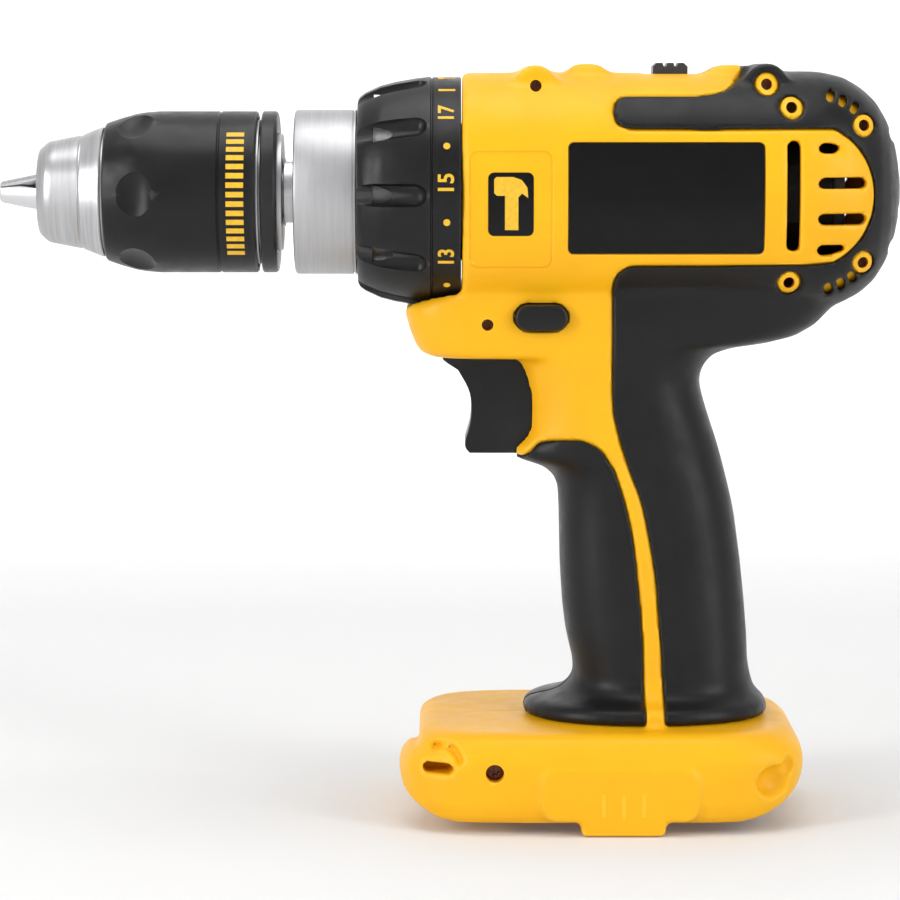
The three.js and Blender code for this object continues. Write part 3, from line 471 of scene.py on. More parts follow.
# %% Rubber halves
def halves(piece, left_name, right_name, gap=PARTING):
    """Cuts a piece along the parting line into its left (-Y) and right half."""
    right = copied(piece, right_name)
    piece.name = piece.data.name = left_name
    carve(piece, box_piece((-200, -100, -50), (250, -gap, 300)), "INTERSECT")
    carve(right, box_piece((-200, gap, -50), (250, 100, 300)), "INTERSECT")
    return piece, right


def soften(piece, voxel, passes):
    even(piece, voxel, passes)
    bpy.ops.object.shade_smooth()
    return piece


rear_grips = halves(rear_rubber, "rear_grip_left_rubber", "rear_grip_right_rubber")
front_grips = halves(front_rubber, "front_grip_left_rubber", "front_grip_right_rubber")
for grip in rear_grips + front_grips:
    soften(grip, RUBBER_VOXEL, 3)
print("rubber pieces have", [len(g.data.polygons) for g in rear_grips + front_grips], "faces")

# %% [markdown]
# ## Foot
#
# The foot is a broad shallow box with rounded corners, which the battery slides into from below.
# It is lofted like the handle. The bit holder at its front, the finger scoops at its back and the
# raised panels over the battery's latches are cut and joined before the fine remesh, which then
# rounds all their edges alike, as a mould maker would.

# %% Foot shape
RIM = 3.2                           # underside of the foot above the floor
FOOT_STATIONS = [
    (RIM, -12, 92.6, 38.6), (5, -13.1, 94.4, 40.0), (8, -14, 95.6, 41), (12.5, -14, 96.8, 41.2),
    (17, -14, 97.6, 41.3), (20, -13.2, 97.4, 41.2), (22, -11.5, 96.8, 40.6),
    (23.8, -9.9, 95.4, 39.6), (25.6, -8, 93.6, 38.4), (26.6, -6.4, 92.1, 37.0),
    (FOOT_TOP, -4.5, 90, 35),
]
foot = upright_loft("foot", FOOT_STATIONS, 5, 96)
FOOT_SIDE = (smooth_run([(-14.4, 24), (-14.3, 16.5), (-12.9, 11.6), (-9.4, 8.0), (-3.4, 4.4)], 4)
             + [(1.8, RIM - 0.1), (80, RIM - 0.1)]
             + smooth_run([(86.5, 5.6), (92.6, 9.6), (95.8, 14), (96.4, 19), (95.2, 24), (92, 29)],
                          4)
             + [(-14.4, 29)])
carve(foot, across(FOOT_SIDE), "INTERSECT")
carve(foot, box_piece((-30, -60, 22.4), (-8.2, 60, 40), "deck_step"))
carve(foot, box_piece((-30, -14, -5), (-8.6, 60, 40), "right_front"))
print("foot loft has", len(foot.data.polygons), "faces")

# %% Foot details
GROOVE_DEPTH = 1.9
SCOOP_TOP = [(88.6, 18.0), (92.6, 22.0), (93.4, 17.2), (91.4, 15.6)]


def rounded_tile(x0, z0, x1, z1, radius, y0, y1, edge):
    """A raised panel on the foot's side, its edges rounded."""
    tile = outline_prism(rounded_box(x0, z0, x1, z1, radius[0], radius[1]), y0, y1)
    return modify(tile, "BEVEL", width=edge[0] * MM, segments=edge[1], limit_method="ANGLE")


inner_foot = modify(copied(foot, "inner_foot"), "DISPLACE", strength=-GROOVE_DEPTH * MM,
                    mid_level=0)
for side in (-1, 1):
    far, near = side * 60, side * 27
    if side < 0:
        carve(foot, outline_prism(rounded_box(-7.6, 16.6, 1.0, 19.4, 1.35, 5), near, far))
        arch = arc(-1.9, 19.6, 5.4, -10, 140, 14) + arc(-1.9, 19.6, 3.4, 140, -10, 14)
        groove = outline_prism(arch, near, far)
        carve(groove, inner_foot, keep=True)
        carve(foot, groove)
    bpy.ops.mesh.primitive_uv_sphere_add(segments=40, ring_count=20, radius=MM,
                                         location=(89.3 * MM, side * 38.4 * MM, 14.2 * MM))
    scoop = named("scoop")
    scoop.scale = (6.6, 5.2, 5.0)
    carve(foot, settle(scoop))
    carve(foot, outline_prism(SCOOP_TOP, side * 32.4, far))
    carve(foot, rounded_tile(24.5, 4, 67.6, 18.9, (4.4, 6), side * 36, side * 42.05, (0.8, 3)),
          "UNION")
    carve(foot, rounded_tile(35.3, 0.05, 58.2, 12, (1.5, 4), side * 38, side * 42.1, (0.5, 2)),
          "UNION")
drop(inner_foot)
print("foot has", len(foot.data.polygons), "faces")

# %% [markdown]
# ## Housing
#
# The housing is two halves of glass-filled nylon, screwed together along the middle. All that is
# common to both is cut first: the beds for the rubber, vents, control openings and the collar's
# room. The whole is remeshed once for soft edges, then hollowed and given its sharp details, and
# last the halves are parted by a thin line.

# %% Beds for the rubber
BED_GAP = 0.3
house = copied(form, "house")
carve(house, foot, "UNION")
rubber_floor = sunk(SKIN + BED_GAP, "rubber_floor")
for outline in (REAR_GRIP, FRONT_GRIP):
    bed = across(grown(outline, BED_GAP), "bed")
    carve(bed, box_piece((-60, -80, FOOT_TOP + 0.02), (200, 80, 260)), "INTERSECT")
    carve(bed, rubber_floor, keep=True)
    carve(house, bed)
drop(rubber_floor)
for x, z in BOSS_SPOTS:
    post = carve(rod_across(x, z, 2.95), form, "INTERSECT", keep=True)
    carve(house, post, "UNION")
print("housing with its beds has", len(house.data.polygons), "faces")

# %% Vents and control openings
HOUSING_VOXEL = 0.84
VENT_TOP = [(98.6, 183.3), (107.0, 183.3), (106.4, 184.7), (102.6, 186.0), (98.6, 186.3)]
VENTS = [rounded_box(98.6, 173.9, 112, 176.9, 0.7, 3),
         rounded_box(98.6, 164.2, 112, 167.2, 0.7, 3),
         VENT_TOP, [(x, 2 * (AXIS - 1.15) - z) for x, z in VENT_TOP][::-1],
         rounded_box(90.3, 157.2, 93.9, 186.8, 0.5, 3)]
carve(house, together([outline_prism(vent, side * 17, side * 60)
                       for vent in VENTS for side in (-1, 1)]))


def button_outline(radius, steps):
    """The button's oval side outline, between its two round ends."""
    return arc(28.4, 138.9, radius, -90, 90, steps) + arc(21.2, 138.9, radius, 90, 270, steps)


carve(house, across(button_outline(3.9, 10)))
carve(house, box_piece((53.5, -5.4, 190), (73, 5.4, 230)))
carve(house, box_piece((-30, -9.7, 99.8), (31.6, 9.7, 128.2)))
bpy.ops.mesh.primitive_cylinder_add(vertices=128, radius=(COLLAR_RADIUS + 0.9) * MM,
                                    depth=60 * MM, rotation=(0, math.radians(90), 0),
                                    location=((BARREL_FRONT - 30) * MM, 0, AXIS * MM))
carve(house, settle(named("collar_room")))
soften(house, HOUSING_VOXEL, 2)
print("housing outside has", len(house.data.polygons), "faces")

# %% Housing hollow and sharp details
WALL = 3.3
BATTERY_ROOM = (((17.5, -36.8, -5), (81.5, 36.8, 24)), ((81, -30, -5), (88.6, 30, 24)),
                ((38.5, -16, 20), (79, 16, 40)))
carve(house, sunk(WALL, "hollow"))
for low, high in BATTERY_ROOM:
    carve(house, box_piece(low, high))
for outline, depth in ((grown(PLATE, 0.25), 0.75), (BADGE_FIELD, 0.28)):
    bed = across(outline, "bed")
    carve(bed, sunk(depth, "bed_floor"))
    carve(house, bed)
holes = [((23.2, 201.4), 1.6), ((10.2, 136.8), 1.6), ((12.1, 17.2), 2.5)] + [
    (spot, 1.55) for spot in BOSS_SPOTS]
carve(house, together([rod_across(x, z, radius, side * 13, side * 60)
                       for (x, z), radius in holes for side in (-1, 1)]))
LATCH_RIBS = [(41.4, 8.6), (46.8, 8.2), (52.2, 8.6)]
added = [box_piece((4, -6, 0.05), (16, 6, RIM + 1))] + [
    outline_prism(rounded_box(x - 0.55, z - 3.2, x + 0.55, z + 3.2, 0.5, 4),
                  side * 41, side * 42.15)
    for x, z in LATCH_RIBS for side in (-1, 1)]
carve(house, together(added), "UNION")
house_halves = halves(house, "housing_left_shell", "housing_right_shell")
for half in house_halves:
    alone(half)
    bpy.ops.object.shade_smooth_by_angle(angle=math.radians(32))
print("housing halves have", [len(h.data.polygons) for h in house_halves], "faces")

# %% [markdown]
# ## Nameplate and badge
#
# The plates are thin gloss skins let into the side, so they follow the barrel's curve. They are
# left without lettering. The badge at the front says that the tool hammers: a small picture of a
# hammer, printed in yellow.

# %% Plates
plate_back = sunk(0.6, "plate_back")
plate = carve(copied(form, "plate"), across(PLATE), "INTERSECT")
carve(plate, plate_back, keep=True)
plate_halves = halves(plate, "nameplate_left_gloss", "nameplate_right_gloss")
badge_form = sunk(0.15, "badge_form")
badge = carve(copied(badge_form, "badge"), across(BADGE), "INTERSECT")
carve(badge, plate_back, keep=True)
badge_halves = halves(badge, "badge_left", "badge_right")
HAMMER = [(14.7, 163.0), (18.3, 163.0), (18.3, 171.8), (19.3, 172.8), (20.9, 171.6), (20.7, 174.4),
          (19.2, 176.4), (16.9, 177.2), (12.4, 177.2), (11.8, 176.6), (11.8, 172.9), (12.6, 172.2),
          (14.7, 172.2)]
mark = carve(copied(form, "mark"), across(HAMMER), "INTERSECT")
carve(mark, plate_back)
mark_halves = halves(mark, "hammer_mark_left", "hammer_mark_right")
drop(badge_form)
for sheet in plate_halves + badge_halves + mark_halves:
    alone(sheet)
    bpy.ops.object.shade_smooth_by_angle(angle=math.radians(40))
print("plates have", [len(p.data.polygons) for p in plate_halves + badge_halves], "faces")

# %% [markdown]
# ## Turned parts of the chuck and the nose
#
# Everything ahead of the housing is turned on a lathe, so each part is a profile, drawn as points
# of x and radius, spun once round the spindle's axis. A cylinder with insets would need more steps
# and would round the edges less well. Small chamfers are drawn in the profile.

# %% Spinning a profile
def spun(name, profile, steps=96, closed=True):
    """A profile of x and radius in mm, turned once round the spindle's axis."""
    edges = [(k, k + 1) for k in range(len(profile) - 1)]
    if closed:
        edges.append((len(profile) - 1, 0))
    piece = drawn(name, [(x, 0, AXIS + radius) for x, radius in profile], edges, [])
    bpy.ops.object.mode_set(mode="EDIT")
    bpy.ops.mesh.select_all(action="SELECT")
    bpy.ops.mesh.spin(steps=steps, angle=2 * math.pi, center=(0, 0, AXIS * MM), axis=(1, 0, 0))
    bpy.ops.mesh.select_all(action="SELECT")
    bpy.ops.mesh.remove_doubles(threshold=1e-6)
    bpy.ops.object.mode_set(mode="OBJECT")
    return facing_out(piece)


def finer(profile, step=1.6):
    """The profile with points added, so that no face of the turned piece is long."""
    dense = []
    for here, after in zip(profile, profile[1:] + profile[:1]):
        parts = max(1, round(math.dist(here, after) / step))
        dense += [tuple(a + (b - a) * k / parts for a, b in zip(here, after)) for k in range(parts)]
    return dense


def smoothed(piece, angle=32):
    """Smooth shading, with edges sharper than the angle left crisp."""
    alone(piece)
    bpy.ops.object.shade_smooth_by_angle(angle=math.radians(angle))
    return piece


def about_axis(piece, degrees):
    """Turns a piece about the spindle's axis, in its mesh."""
    centre = Vector((0, 0, AXIS * MM))
    piece.data.transform(Matrix.Translation(centre) @ Matrix.Rotation(math.radians(degrees), 4, "X")
                         @ Matrix.Translation(-centre))
    return piece


print("turning helpers ready")

# %% Chuck body
JAW_TILT = math.radians(14)
JAW_RADIUS = 3.5
JAW_TIP = span("jaw_1", "x")[0]
NOSE_FACE = span("chuck_body", "x")[0]


def jaw_rod(radius, start, end, sides=40):
    middle = (start + end) / 2
    place = (JAW_TIP + middle * math.cos(JAW_TILT), 0, AXIS + 2 + middle * math.sin(JAW_TILT))
    bpy.ops.mesh.primitive_cylinder_add(vertices=sides, radius=radius * MM,
                                        depth=(end - start) * MM, location=[v * MM for v in place],
                                        rotation=(0, math.radians(90) - JAW_TILT, 0))
    return settle(named("jaw_rod"))


nose = spun("chuck_nose", finer([
    (NOSE_FACE, 7.4), (NOSE_FACE, 11.3), (NOSE_FACE + 0.3, 11.9), (-110.9, 13.5), (-110.2, 13.9),
    (-101.6, 15.6), (-101.3, 15.4), (-101.0, 15.4), (-100.8, 15.8), (-95.6, 17.9), (-95.2, 17.7),
    (-95.1, 16.6), (-88.5, 16.6), (-88.5, 14.2), (-81.7, 14.2), (-81.7, 19.9), (-52.2, 19.9),
    (-52.2, 16), (-46, 16), (-46, 7.2), (-112, 7.2)]), 128)
carve(nose, together([about_axis(jaw_rod(JAW_RADIUS + 0.45, -6, 62), 120 * k) for k in range(3)]))
smoothed(nose)
print("chuck body has", len(nose.data.polygons), "faces")


# %% Jaws
def sector(start):
    """A third of the room about the axis, where one jaw moves, opening upwards."""
    reach, rise = 30, 30 * math.tan(math.radians(30))
    corners = [(0, start), (reach, start + rise), (-reach, start + rise)]
    face = drawn("sector", [(JAW_TIP, y, AXIS + z) for y, z in corners], [], [(0, 1, 2)])
    return extruded(face, (100, 0, 0))


jaws = []
for k in range(3):
    jaw = jaw_rod(JAW_RADIUS, -4, 34)
    carve(jaw, spun("jaw_end", [(JAW_TIP, 0.01), (JAW_TIP, 2.5), (JAW_TIP + 0.4, 2.9),
                                (JAW_TIP + 10.8, 5.1), (JAW_TIP + 15, 40), (-60, 40), (-60, 0.01)],
                     64), "INTERSECT")
    carve(jaw, sector(0.35), "INTERSECT")
    modify(jaw, "BEVEL", width=0.25 * MM, segments=2, limit_method="ANGLE")
    about_axis(jaw, 120 * k)
    jaw.name = jaw.data.name = "jaw_%d_steel" % (k + 1)
    jaws.append(smoothed(jaw))
print("jaw faces", [len(j.data.polygons) for j in jaws])

# %% Chuck sleeve
sleeve = spun("sleeve_grip", finer([
    (SLEEVE_FRONT, 17.1), (SLEEVE_FRONT, 18.6), (SLEEVE_FRONT + 0.4, 19.0), (-90.6, 20.2),
    (-86.4, 21.4), (-83.4, 21.9), (-79.6, SLEEVE_RADIUS), (-63.4, SLEEVE_RADIUS),
    (-63.1, 21.9), (-62.8, 21.9), (-62.5, SLEEVE_RADIUS), (-53.2, SLEEVE_RADIUS), (-52.7, 21.8),
    (-52.6, 20.5), (-81.2, 20.5), (-81.6, 19.2), (-88.7, 19.2), (-88.7, 17.1), (-90.6, 17.1)]),
               144)
NUT_FRONT, NUT_REAR = span("chuck_nut", "x")
jaw_nut = smoothed(spun("chuck_nut_steel", [(NUT_FRONT, 14.9), (NUT_FRONT, 18.6),
                                            (NUT_FRONT + 0.3, 18.9), (NUT_REAR - 0.3, 18.9),
                                            (NUT_REAR, 18.6), (NUT_REAR, 16.5)], 96))
SCALLOPS = 6
scallop_tools = []
for k in range(SCALLOPS):
    bpy.ops.mesh.primitive_uv_sphere_add(segments=40, ring_count=20, radius=MM,
                                         location=(-87.4 * MM, 0, (AXIS + 26.1) * MM))
    tool = named("scallop")
    tool.scale = (9.0, 13.0, 6.3)
    scallop_tools.append(about_axis(settle(tool), 360 * k / SCALLOPS + 90))
carve(sleeve, together(scallop_tools))
smoothed(sleeve, 24)
rear_ring = spun("chuck_ring_black", [(-51.5, 20.4), (-51.5, 21.8), (-51.1, SLEEVE_RADIUS),
                                      (-47.9, SLEEVE_RADIUS), (-47.3, 21.8), (-47.1, 21.2),
                                      (-47.1, 16.3), (-51.5, 16.3)], 128)
smoothed(rear_ring)
print("sleeve faces", len(sleeve.data.polygons))

# %% Spindle neck and metal collar
neck = spun("spindle_neck", [(-51.5, 0), (-51.5, 2.6), (-61.5, 2.6), (-61.5, 6.4), (-45.6, 6.4),
                             (-45.6, 9.2), (-45.4, 9.4), (-41.2, 9.4), (-41.0, 8.3), (-22.8, 8.3),
                             (-22.8, 7), (10.4, 7), (10.4, 0)], 96, closed=False)
for turn in (0, 180):
    carve(neck, about_axis(box_piece((-45.3, -20, AXIS + 8.3), (-42.7, 20, AXIS + 20)), turn))
smoothed(neck)
collar = spun("side_handle_collar", [
    (NOSE_FRONT, 9.9), (NOSE_FRONT, 21.9), (NOSE_FRONT + 0.25, 22.4),
    (NOSE_FRONT + 0.7, NOSE_RADIUS),
    (-26.6, NOSE_RADIUS), (-26.6, 22.1), (-26.1, 22.1), (-26.1, NOSE_RADIUS), (-25.7, NOSE_RADIUS),
    (-25.7, 18.8), (3.7, 18.8), (3.7, 26.8), (6.4, 26.8), (6.4, 16.2), (-31, 16.2), (-31, 11.5),
    (-32.1, 11.5), (-32.1, 15), (-41.2, 15), (-41.2, 9.9)], 160)
smoothed(collar)
print("metal collar has", len(collar.data.polygons), "faces")

# %% [markdown]
# ## Torque collar
#
# The collar sets the clutch. It is a black moulding with ten finger flutes, each a long hollow
# with a round end, and a dial band at its back. The ring is spun, and one round-ended cutter is
# copied ten times about the axis. The numbers are printed flat on the band.

# %% Torque collar
dial = spun("torque_collar", finer([
    (COLLAR_FRONT, 19.2), (COLLAR_FRONT, 24.9), (-25.1, 25.6), (-24.6, 26.3), (-23.2, 27.3),
    (-19, 29.2), (-15, 30.2), (-10, 31.1), (-6.2, 31.6), (-5.35, 31.65), (-5.15, 31.2),
    (-4.75, 31.2), (-4.55, 31.6), (-4.2, COLLAR_RADIUS), (2.4, COLLAR_RADIUS), (2.8, 31.5),
    (COLLAR_REAR, 31.1), (COLLAR_REAR, 27.4), (-21, 27.4), (-21, 19.2)]), 180)
FLUTES = 10
FLUTE_TILT = math.radians(14)
FLUTE_END = (-9.4, 0, AXIS + 32.3)
FLUTE_MIDDLE = (FLUTE_END[0] - 10 * math.cos(FLUTE_TILT), 0,
                FLUTE_END[2] - 10 * math.sin(FLUTE_TILT))
flute_tools = []
for k in range(FLUTES):
    bpy.ops.mesh.primitive_cylinder_add(vertices=32, radius=3.3 * MM, depth=20 * MM,
                                        location=[v * MM for v in FLUTE_MIDDLE],
                                        rotation=(0, math.radians(90) - FLUTE_TILT, 0))
    groove = settle(named("flute"))
    bpy.ops.mesh.primitive_uv_sphere_add(segments=32, ring_count=16, radius=3.3 * MM,
                                         location=[v * MM for v in FLUTE_END])
    carve(groove, named("flute_end"), "UNION")
    flute_tools.append(about_axis(groove, 360 * k / FLUTES + 90))
carve(dial, together(flute_tools))
smoothed(dial, 28)
print("torque collar faces", len(dial.data.polygons))

# %% Marks for the dial
BAND_MIDDLE = -0.85


def on_dial(piece, angle, x=BAND_MIDDLE, radius=None):
    """Lays a flat mark on the band: its reading direction climbs, its top faces the chuck."""
    radius = COLLAR_RADIUS if radius is None else radius
    facing = Matrix(((0, -1, 0, 0), (0, 0, -1, 0), (1, 0, 0, 0), (0, 0, 0, 1)))
    piece.data.transform(Matrix.Translation((x * MM, -radius * MM, AXIS * MM)) @ facing)
    return about_axis(piece, angle)


def digits(text, height):
    bpy.ops.object.text_add(location=(0, 0, 0))
    words = bpy.context.active_object
    words.data.body = text
    words.data.size = height * MM / 0.72
    words.data.align_x = "CENTER"
    words.data.align_y = "CENTER"
    words.data.extrude = 0.06 * MM
    words.data.offset = 0.13 * MM
    words.data.resolution_u = 3
    bpy.ops.object.convert(target="MESH")
    return settle(named("digits"))


def dot(radius):
    bpy.ops.mesh.primitive_cylinder_add(vertices=20, radius=radius * MM, depth=0.12 * MM)
    return named("dot")


def bar(length, width):
    return box_piece((-width / 2, -length / 2, -0.06), (width / 2, length / 2, 0.06), "bar")


def joined_marks(marks, name):
    piece = together(marks)
    piece.name = piece.data.name = name
    print(name, "has", len(piece.data.polygons), "faces")
    return piece


# %% Dial markings
LAST_NUMBER = 17
SETTINGS = LAST_NUMBER + 2          # the drill and the hammer sign come after the numbers


def setting_angle(setting):
    """15 is the setting that faces left when the collar is at rest."""
    return -5.8 + (15 - setting) * 360 / SETTINGS


marks = []
for number in range(1, LAST_NUMBER + 1):
    made = digits(str(number), 4.3) if number % 2 else dot(0.95)
    marks.append(on_dial(made, setting_angle(number)))
for position in (LAST_NUMBER + 1, SETTINGS):
    angle = setting_angle(position)
    marks.append(on_dial(bar(4.6, 1.1), angle))
    if position == SETTINGS:
        marks.append(on_dial(bar(1.6, 3.2), angle, BAND_MIDDLE - 1.6))
dial_marks = joined_marks(marks, "dial_marks")

# %% Sleeve markings
TICK_STEP = 6.6
TICK_BAND = -58.2
ticks = []
for k in range(-7, 8):
    for face in (0, 180):
        ticks.append(on_dial(bar(4.8, 1.5), face + TICK_STEP * k, TICK_BAND, SLEEVE_RADIUS))
sleeve_marks = joined_marks(ticks, "sleeve_marks")

# %% [markdown]
# ## Controls and screws
#
# The trigger, the lock button and the speed selector are mouldings with rounded edges. Their side
# outlines are extruded and bevelled, so that they slide in their openings as the real ones do. A
# screw is a turned head with a six-lobed socket.

# %% Trigger
def rounded_edges(piece, width, segments, angle):
    """Bevels the edges sharper than the angle and shades the rest smooth."""
    modify(piece, "BEVEL", width=width * MM, segments=segments, limit_method="ANGLE",
           angle_limit=math.radians(angle))
    return smoothed(piece, 40)


finger = smooth_run([(2.2, 123.6), (5.4, 117.3), (5.7, 110), (4.1, 103.2), (5.4, 100.7)], 5)
TRIGGER = [(-2.2, 127.4), (-1.9, 126.4), (-0.6, 125.4)] + finger + [
    (22.4, 100.7), (24.5, 102.8), (24.5, 127.4)]
trigger = outline_prism(TRIGGER, -9, 9, "trigger_black")
rounded_edges(trigger, 1.5, 4, 40)
print("trigger has", len(trigger.data.polygons), "faces")

# %% Button and selector
BUTTON_REACH = span("direction_button", "y")[1]
button = outline_prism(button_outline(3.5, 14), -BUTTON_REACH, BUTTON_REACH, "lock_button")
rounded_edges(button, 0.7, 3, 50)
SELECTOR_TOP = span("speed_selector", "z")[1]
selector = outline_prism([(55.5, 200.6), (55.5, 206.6), (56.6, SELECTOR_TOP), (58.1, SELECTOR_TOP),
                          (58.5, 206.6), (59.1, 206.6), (59.5, SELECTOR_TOP), (61.1, SELECTOR_TOP),
                          (61.5, 206.6), (62.1, 206.6), (62.5, SELECTOR_TOP), (63.9, SELECTOR_TOP),
                          (65, 206.6), (65, 200.6)], -5, 5, "speed_selector_black")
carve(selector, box_piece((50, -6.5, 199), (70, 6.5, 200.7)), "UNION")
carve(selector, box_piece((36.6, -2.2, 199), (52, 2.2, 200.5)), "UNION")
carve(selector, box_piece((36.6, -2.2, 195.5), (38.2, 2.2, 200)), "UNION")
rounded_edges(selector, 0.35, 2, 50)
print("button and selector have", [len(c.data.polygons) for c in (button, selector)], "faces")

# %% Screws
def screw(x, z, y0, y1):
    """A pan head whose face looks towards -Y, with a six-lobed socket and a plain shank."""
    head = rod_across(x, z, 2.6, y0, y0 + 2.2, 40, "screw")
    modify(head, "BEVEL", width=0.5 * MM, segments=3, limit_method="ANGLE",
           angle_limit=math.radians(50))
    carve(head, rod_across(x, z, 1.6, y0 + 2, y1, 24), "UNION")
    lobes = [(x + (1.05 + 0.22 * math.cos(6 * t)) * math.cos(t),
              z + (1.05 + 0.22 * math.cos(6 * t)) * math.sin(t))
             for t in (2 * math.pi * k / 48 for k in range(48))]
    carve(head, outline_prism(lobes, y0 - 1, y0 + 1.3))
    return smoothed(head, 35)


screws = []
for place_name in ("top_front", "top_rear", "rear_upper", "rear_lower", "chin", "foot"):
    screw_node = "screw_" + place_name
    x, z = (sum(span(screw_node, axis)) / 2 for axis in "xz")
    made = screw(x, z, *span(screw_node, "y"))
    made.name = made.data.name = screw_node + "_dark"
    screws.append((made, screw_node))
print("screws", len(screws))

# %% [markdown]
# ## Finishes
#
# Each finish is built from noise at the size of the real texture: the spark-eroded grain of the
# yellow nylon, the finer matt of the rubber, turning marks on steel. Patterns read object
# coordinates in metres, so they keep their size whatever piece they are on. Paint maps would look
# as good, but would have to be drawn for each piece.

# %% Nodes of a finish
def finish(name, colour, roughness, metallic=0.0, coat=0.0, specular=0.5):
    material = bpy.data.materials.new(name)
    material.use_nodes = True
    shader = material.node_tree.nodes["Principled BSDF"]
    shader.inputs["Base Color"].default_value = (*colour, 1)
    shader.inputs["Roughness"].default_value = roughness
    shader.inputs["Metallic"].default_value = metallic
    shader.inputs["Coat Weight"].default_value = coat
    shader.inputs["Coat Roughness"].default_value = 0.12
    shader.inputs["Specular IOR Level"].default_value = specular
    material.diffuse_color = (*colour, 1)
    return material


def node(material, kind, **inputs):
    made = material.node_tree.nodes.new(kind)
    for key, value in inputs.items():
        made.inputs[key.replace("_", " ")].default_value = value
    return made


def join(material, source, output, target, name):
    material.node_tree.links.new(source.outputs[output], target.inputs[name])


def shader_of(material):
    return material.node_tree.nodes["Principled BSDF"]


print("node helpers ready")


# %% Patterns
def place(material, stretch=(1, 1, 1)):
    """Object coordinates, stretched."""
    coordinates = node(material, "ShaderNodeTexCoord")
    mapping = node(material, "ShaderNodeMapping", Scale=stretch)
    join(material, coordinates, "Object", mapping, "Vector")
    return mapping


def noise(material, per_metre, detail=3.0, rough=0.5, stretch=(1, 1, 1)):
    texture = node(material, "ShaderNodeTexNoise", Scale=per_metre, Detail=detail, Roughness=rough)
    join(material, place(material, stretch), "Vector", texture, "Vector")
    return texture


def ramp(material, source, stops, output="Fac"):
    made = node(material, "ShaderNodeValToRGB")
    line = made.color_ramp
    while len(line.elements) < len(stops):
        line.elements.new(0.5)
    for element, (place_on, colour) in zip(line.elements, stops):
        element.position = place_on
        element.color = (*colour, 1)
    join(material, source, output, made, "Fac")
    return made


def grey(value):
    return (value, value, value)


print("pattern helpers ready")


# %% What the patterns do
def mottle(material, light, dark, per_metre, stretch=(1, 1, 1), detail=4.0):
    """Colour that drifts between two tones."""
    tones = ramp(material, noise(material, per_metre, detail, 0.55, stretch),
                 [(0.3, dark), (0.7, light)])
    join(material, tones, "Color", shader_of(material), "Base Color")
    return tones


def vary_roughness(material, low, high, per_metre, stretch=(1, 1, 1)):
    values = ramp(material, noise(material, per_metre, 5.0, 0.6, stretch),
                  [(0.35, grey(low)), (0.65, grey(high))])
    join(material, values, "Color", shader_of(material), "Roughness")


def grain(material, layers):
    """Bumps of one or more sizes: (per metre, height in mm, stretch)."""
    last = None
    for per_metre, height, stretch in layers:
        bump = node(material, "ShaderNodeBump", Strength=1.0, Distance=height * MM)
        join(material, noise(material, per_metre, 2.0, 0.5, stretch), "Fac", bump, "Height")
        if last is not None:
            join(material, last, "Normal", bump, "Normal")
        last = bump
    join(material, last, "Normal", shader_of(material), "Normal")


def worn_edges(material, tones, bright, start=0.52, end=0.62):
    """Lightens sharp outer edges, where hands and benches rub."""
    geometry = node(material, "ShaderNodeNewGeometry")
    edge = ramp(material, geometry, [(start, grey(0)), (end, grey(1))], "Pointiness")
    mix = material.node_tree.nodes.new("ShaderNodeMix")
    mix.data_type = "RGBA"
    mix.inputs["B"].default_value = (*bright, 1)
    material.node_tree.links.new(edge.outputs["Color"], mix.inputs["Factor"])
    material.node_tree.links.new(tones.outputs["Color"], mix.inputs["A"])
    material.node_tree.links.new(mix.outputs["Result"],
                                 shader_of(material).inputs["Base Color"])


EVEN = (1, 1, 1)
print("finish helpers ready")

# %% Plastics and rubber
yellow = finish("yellow_nylon", (0.95, 0.46, 0.003), 0.42, specular=0.32)
tones = mottle(yellow, (0.98, 0.50, 0.004), (0.92, 0.445, 0.003), 42)
worn_edges(yellow, tones, (1.0, 0.6, 0.04), 0.515, 0.6)
vary_roughness(yellow, 0.36, 0.5, 180)
grain(yellow, [(2600, 0.022, EVEN), (240, 0.02, EVEN)])

rubber = finish("soft_rubber", (0.008, 0.008, 0.009), 0.42, specular=0.28)
tones = mottle(rubber, (0.008, 0.008, 0.0085), (0.0045, 0.0045, 0.005), 60)
worn_edges(rubber, tones, (0.035, 0.035, 0.037), 0.53, 0.66)
vary_roughness(rubber, 0.34, 0.46, 220)
grain(rubber, [(3200, 0.02, EVEN), (300, 0.02, EVEN)])

black = finish("black_nylon", (0.009, 0.009, 0.010), 0.33, specular=0.32)
tones = mottle(black, (0.006, 0.006, 0.0065), (0.003, 0.003, 0.0035), 90)
worn_edges(black, tones, (0.04, 0.04, 0.042), 0.52, 0.64)
vary_roughness(black, 0.28, 0.4, 260)
grain(black, [(2800, 0.016, EVEN)])

gloss = finish("gloss_plate", (0.002, 0.002, 0.0025), 0.16, specular=0.22)
mottle(gloss, (0.003, 0.003, 0.0035), (0.0015, 0.0015, 0.002), 30)
vary_roughness(gloss, 0.12, 0.24, 90, (1, 1, 4))
grain(gloss, [(60, 0.01, EVEN)])

print_yellow = finish("printed_yellow", (0.9, 0.52, 0.02), 0.45)
mottle(print_yellow, (0.92, 0.56, 0.03), (0.8, 0.44, 0.015), 900)
vary_roughness(print_yellow, 0.4, 0.55, 900)
grain(print_yellow, [(3000, 0.008, EVEN)])

grey_plastic = finish("grey_plastic", (0.06, 0.06, 0.062), 0.5)
mottle(grey_plastic, (0.07, 0.07, 0.072), (0.05, 0.05, 0.052), 120)
vary_roughness(grey_plastic, 0.45, 0.6, 300)
grain(grey_plastic, [(2600, 0.02, EVEN)])

red_lead = finish("red_insulation", (0.42, 0.015, 0.01), 0.42)
mottle(red_lead, (0.48, 0.02, 0.012), (0.34, 0.01, 0.008), 200)
vary_roughness(red_lead, 0.36, 0.5, 400)
grain(red_lead, [(1800, 0.01, EVEN)])

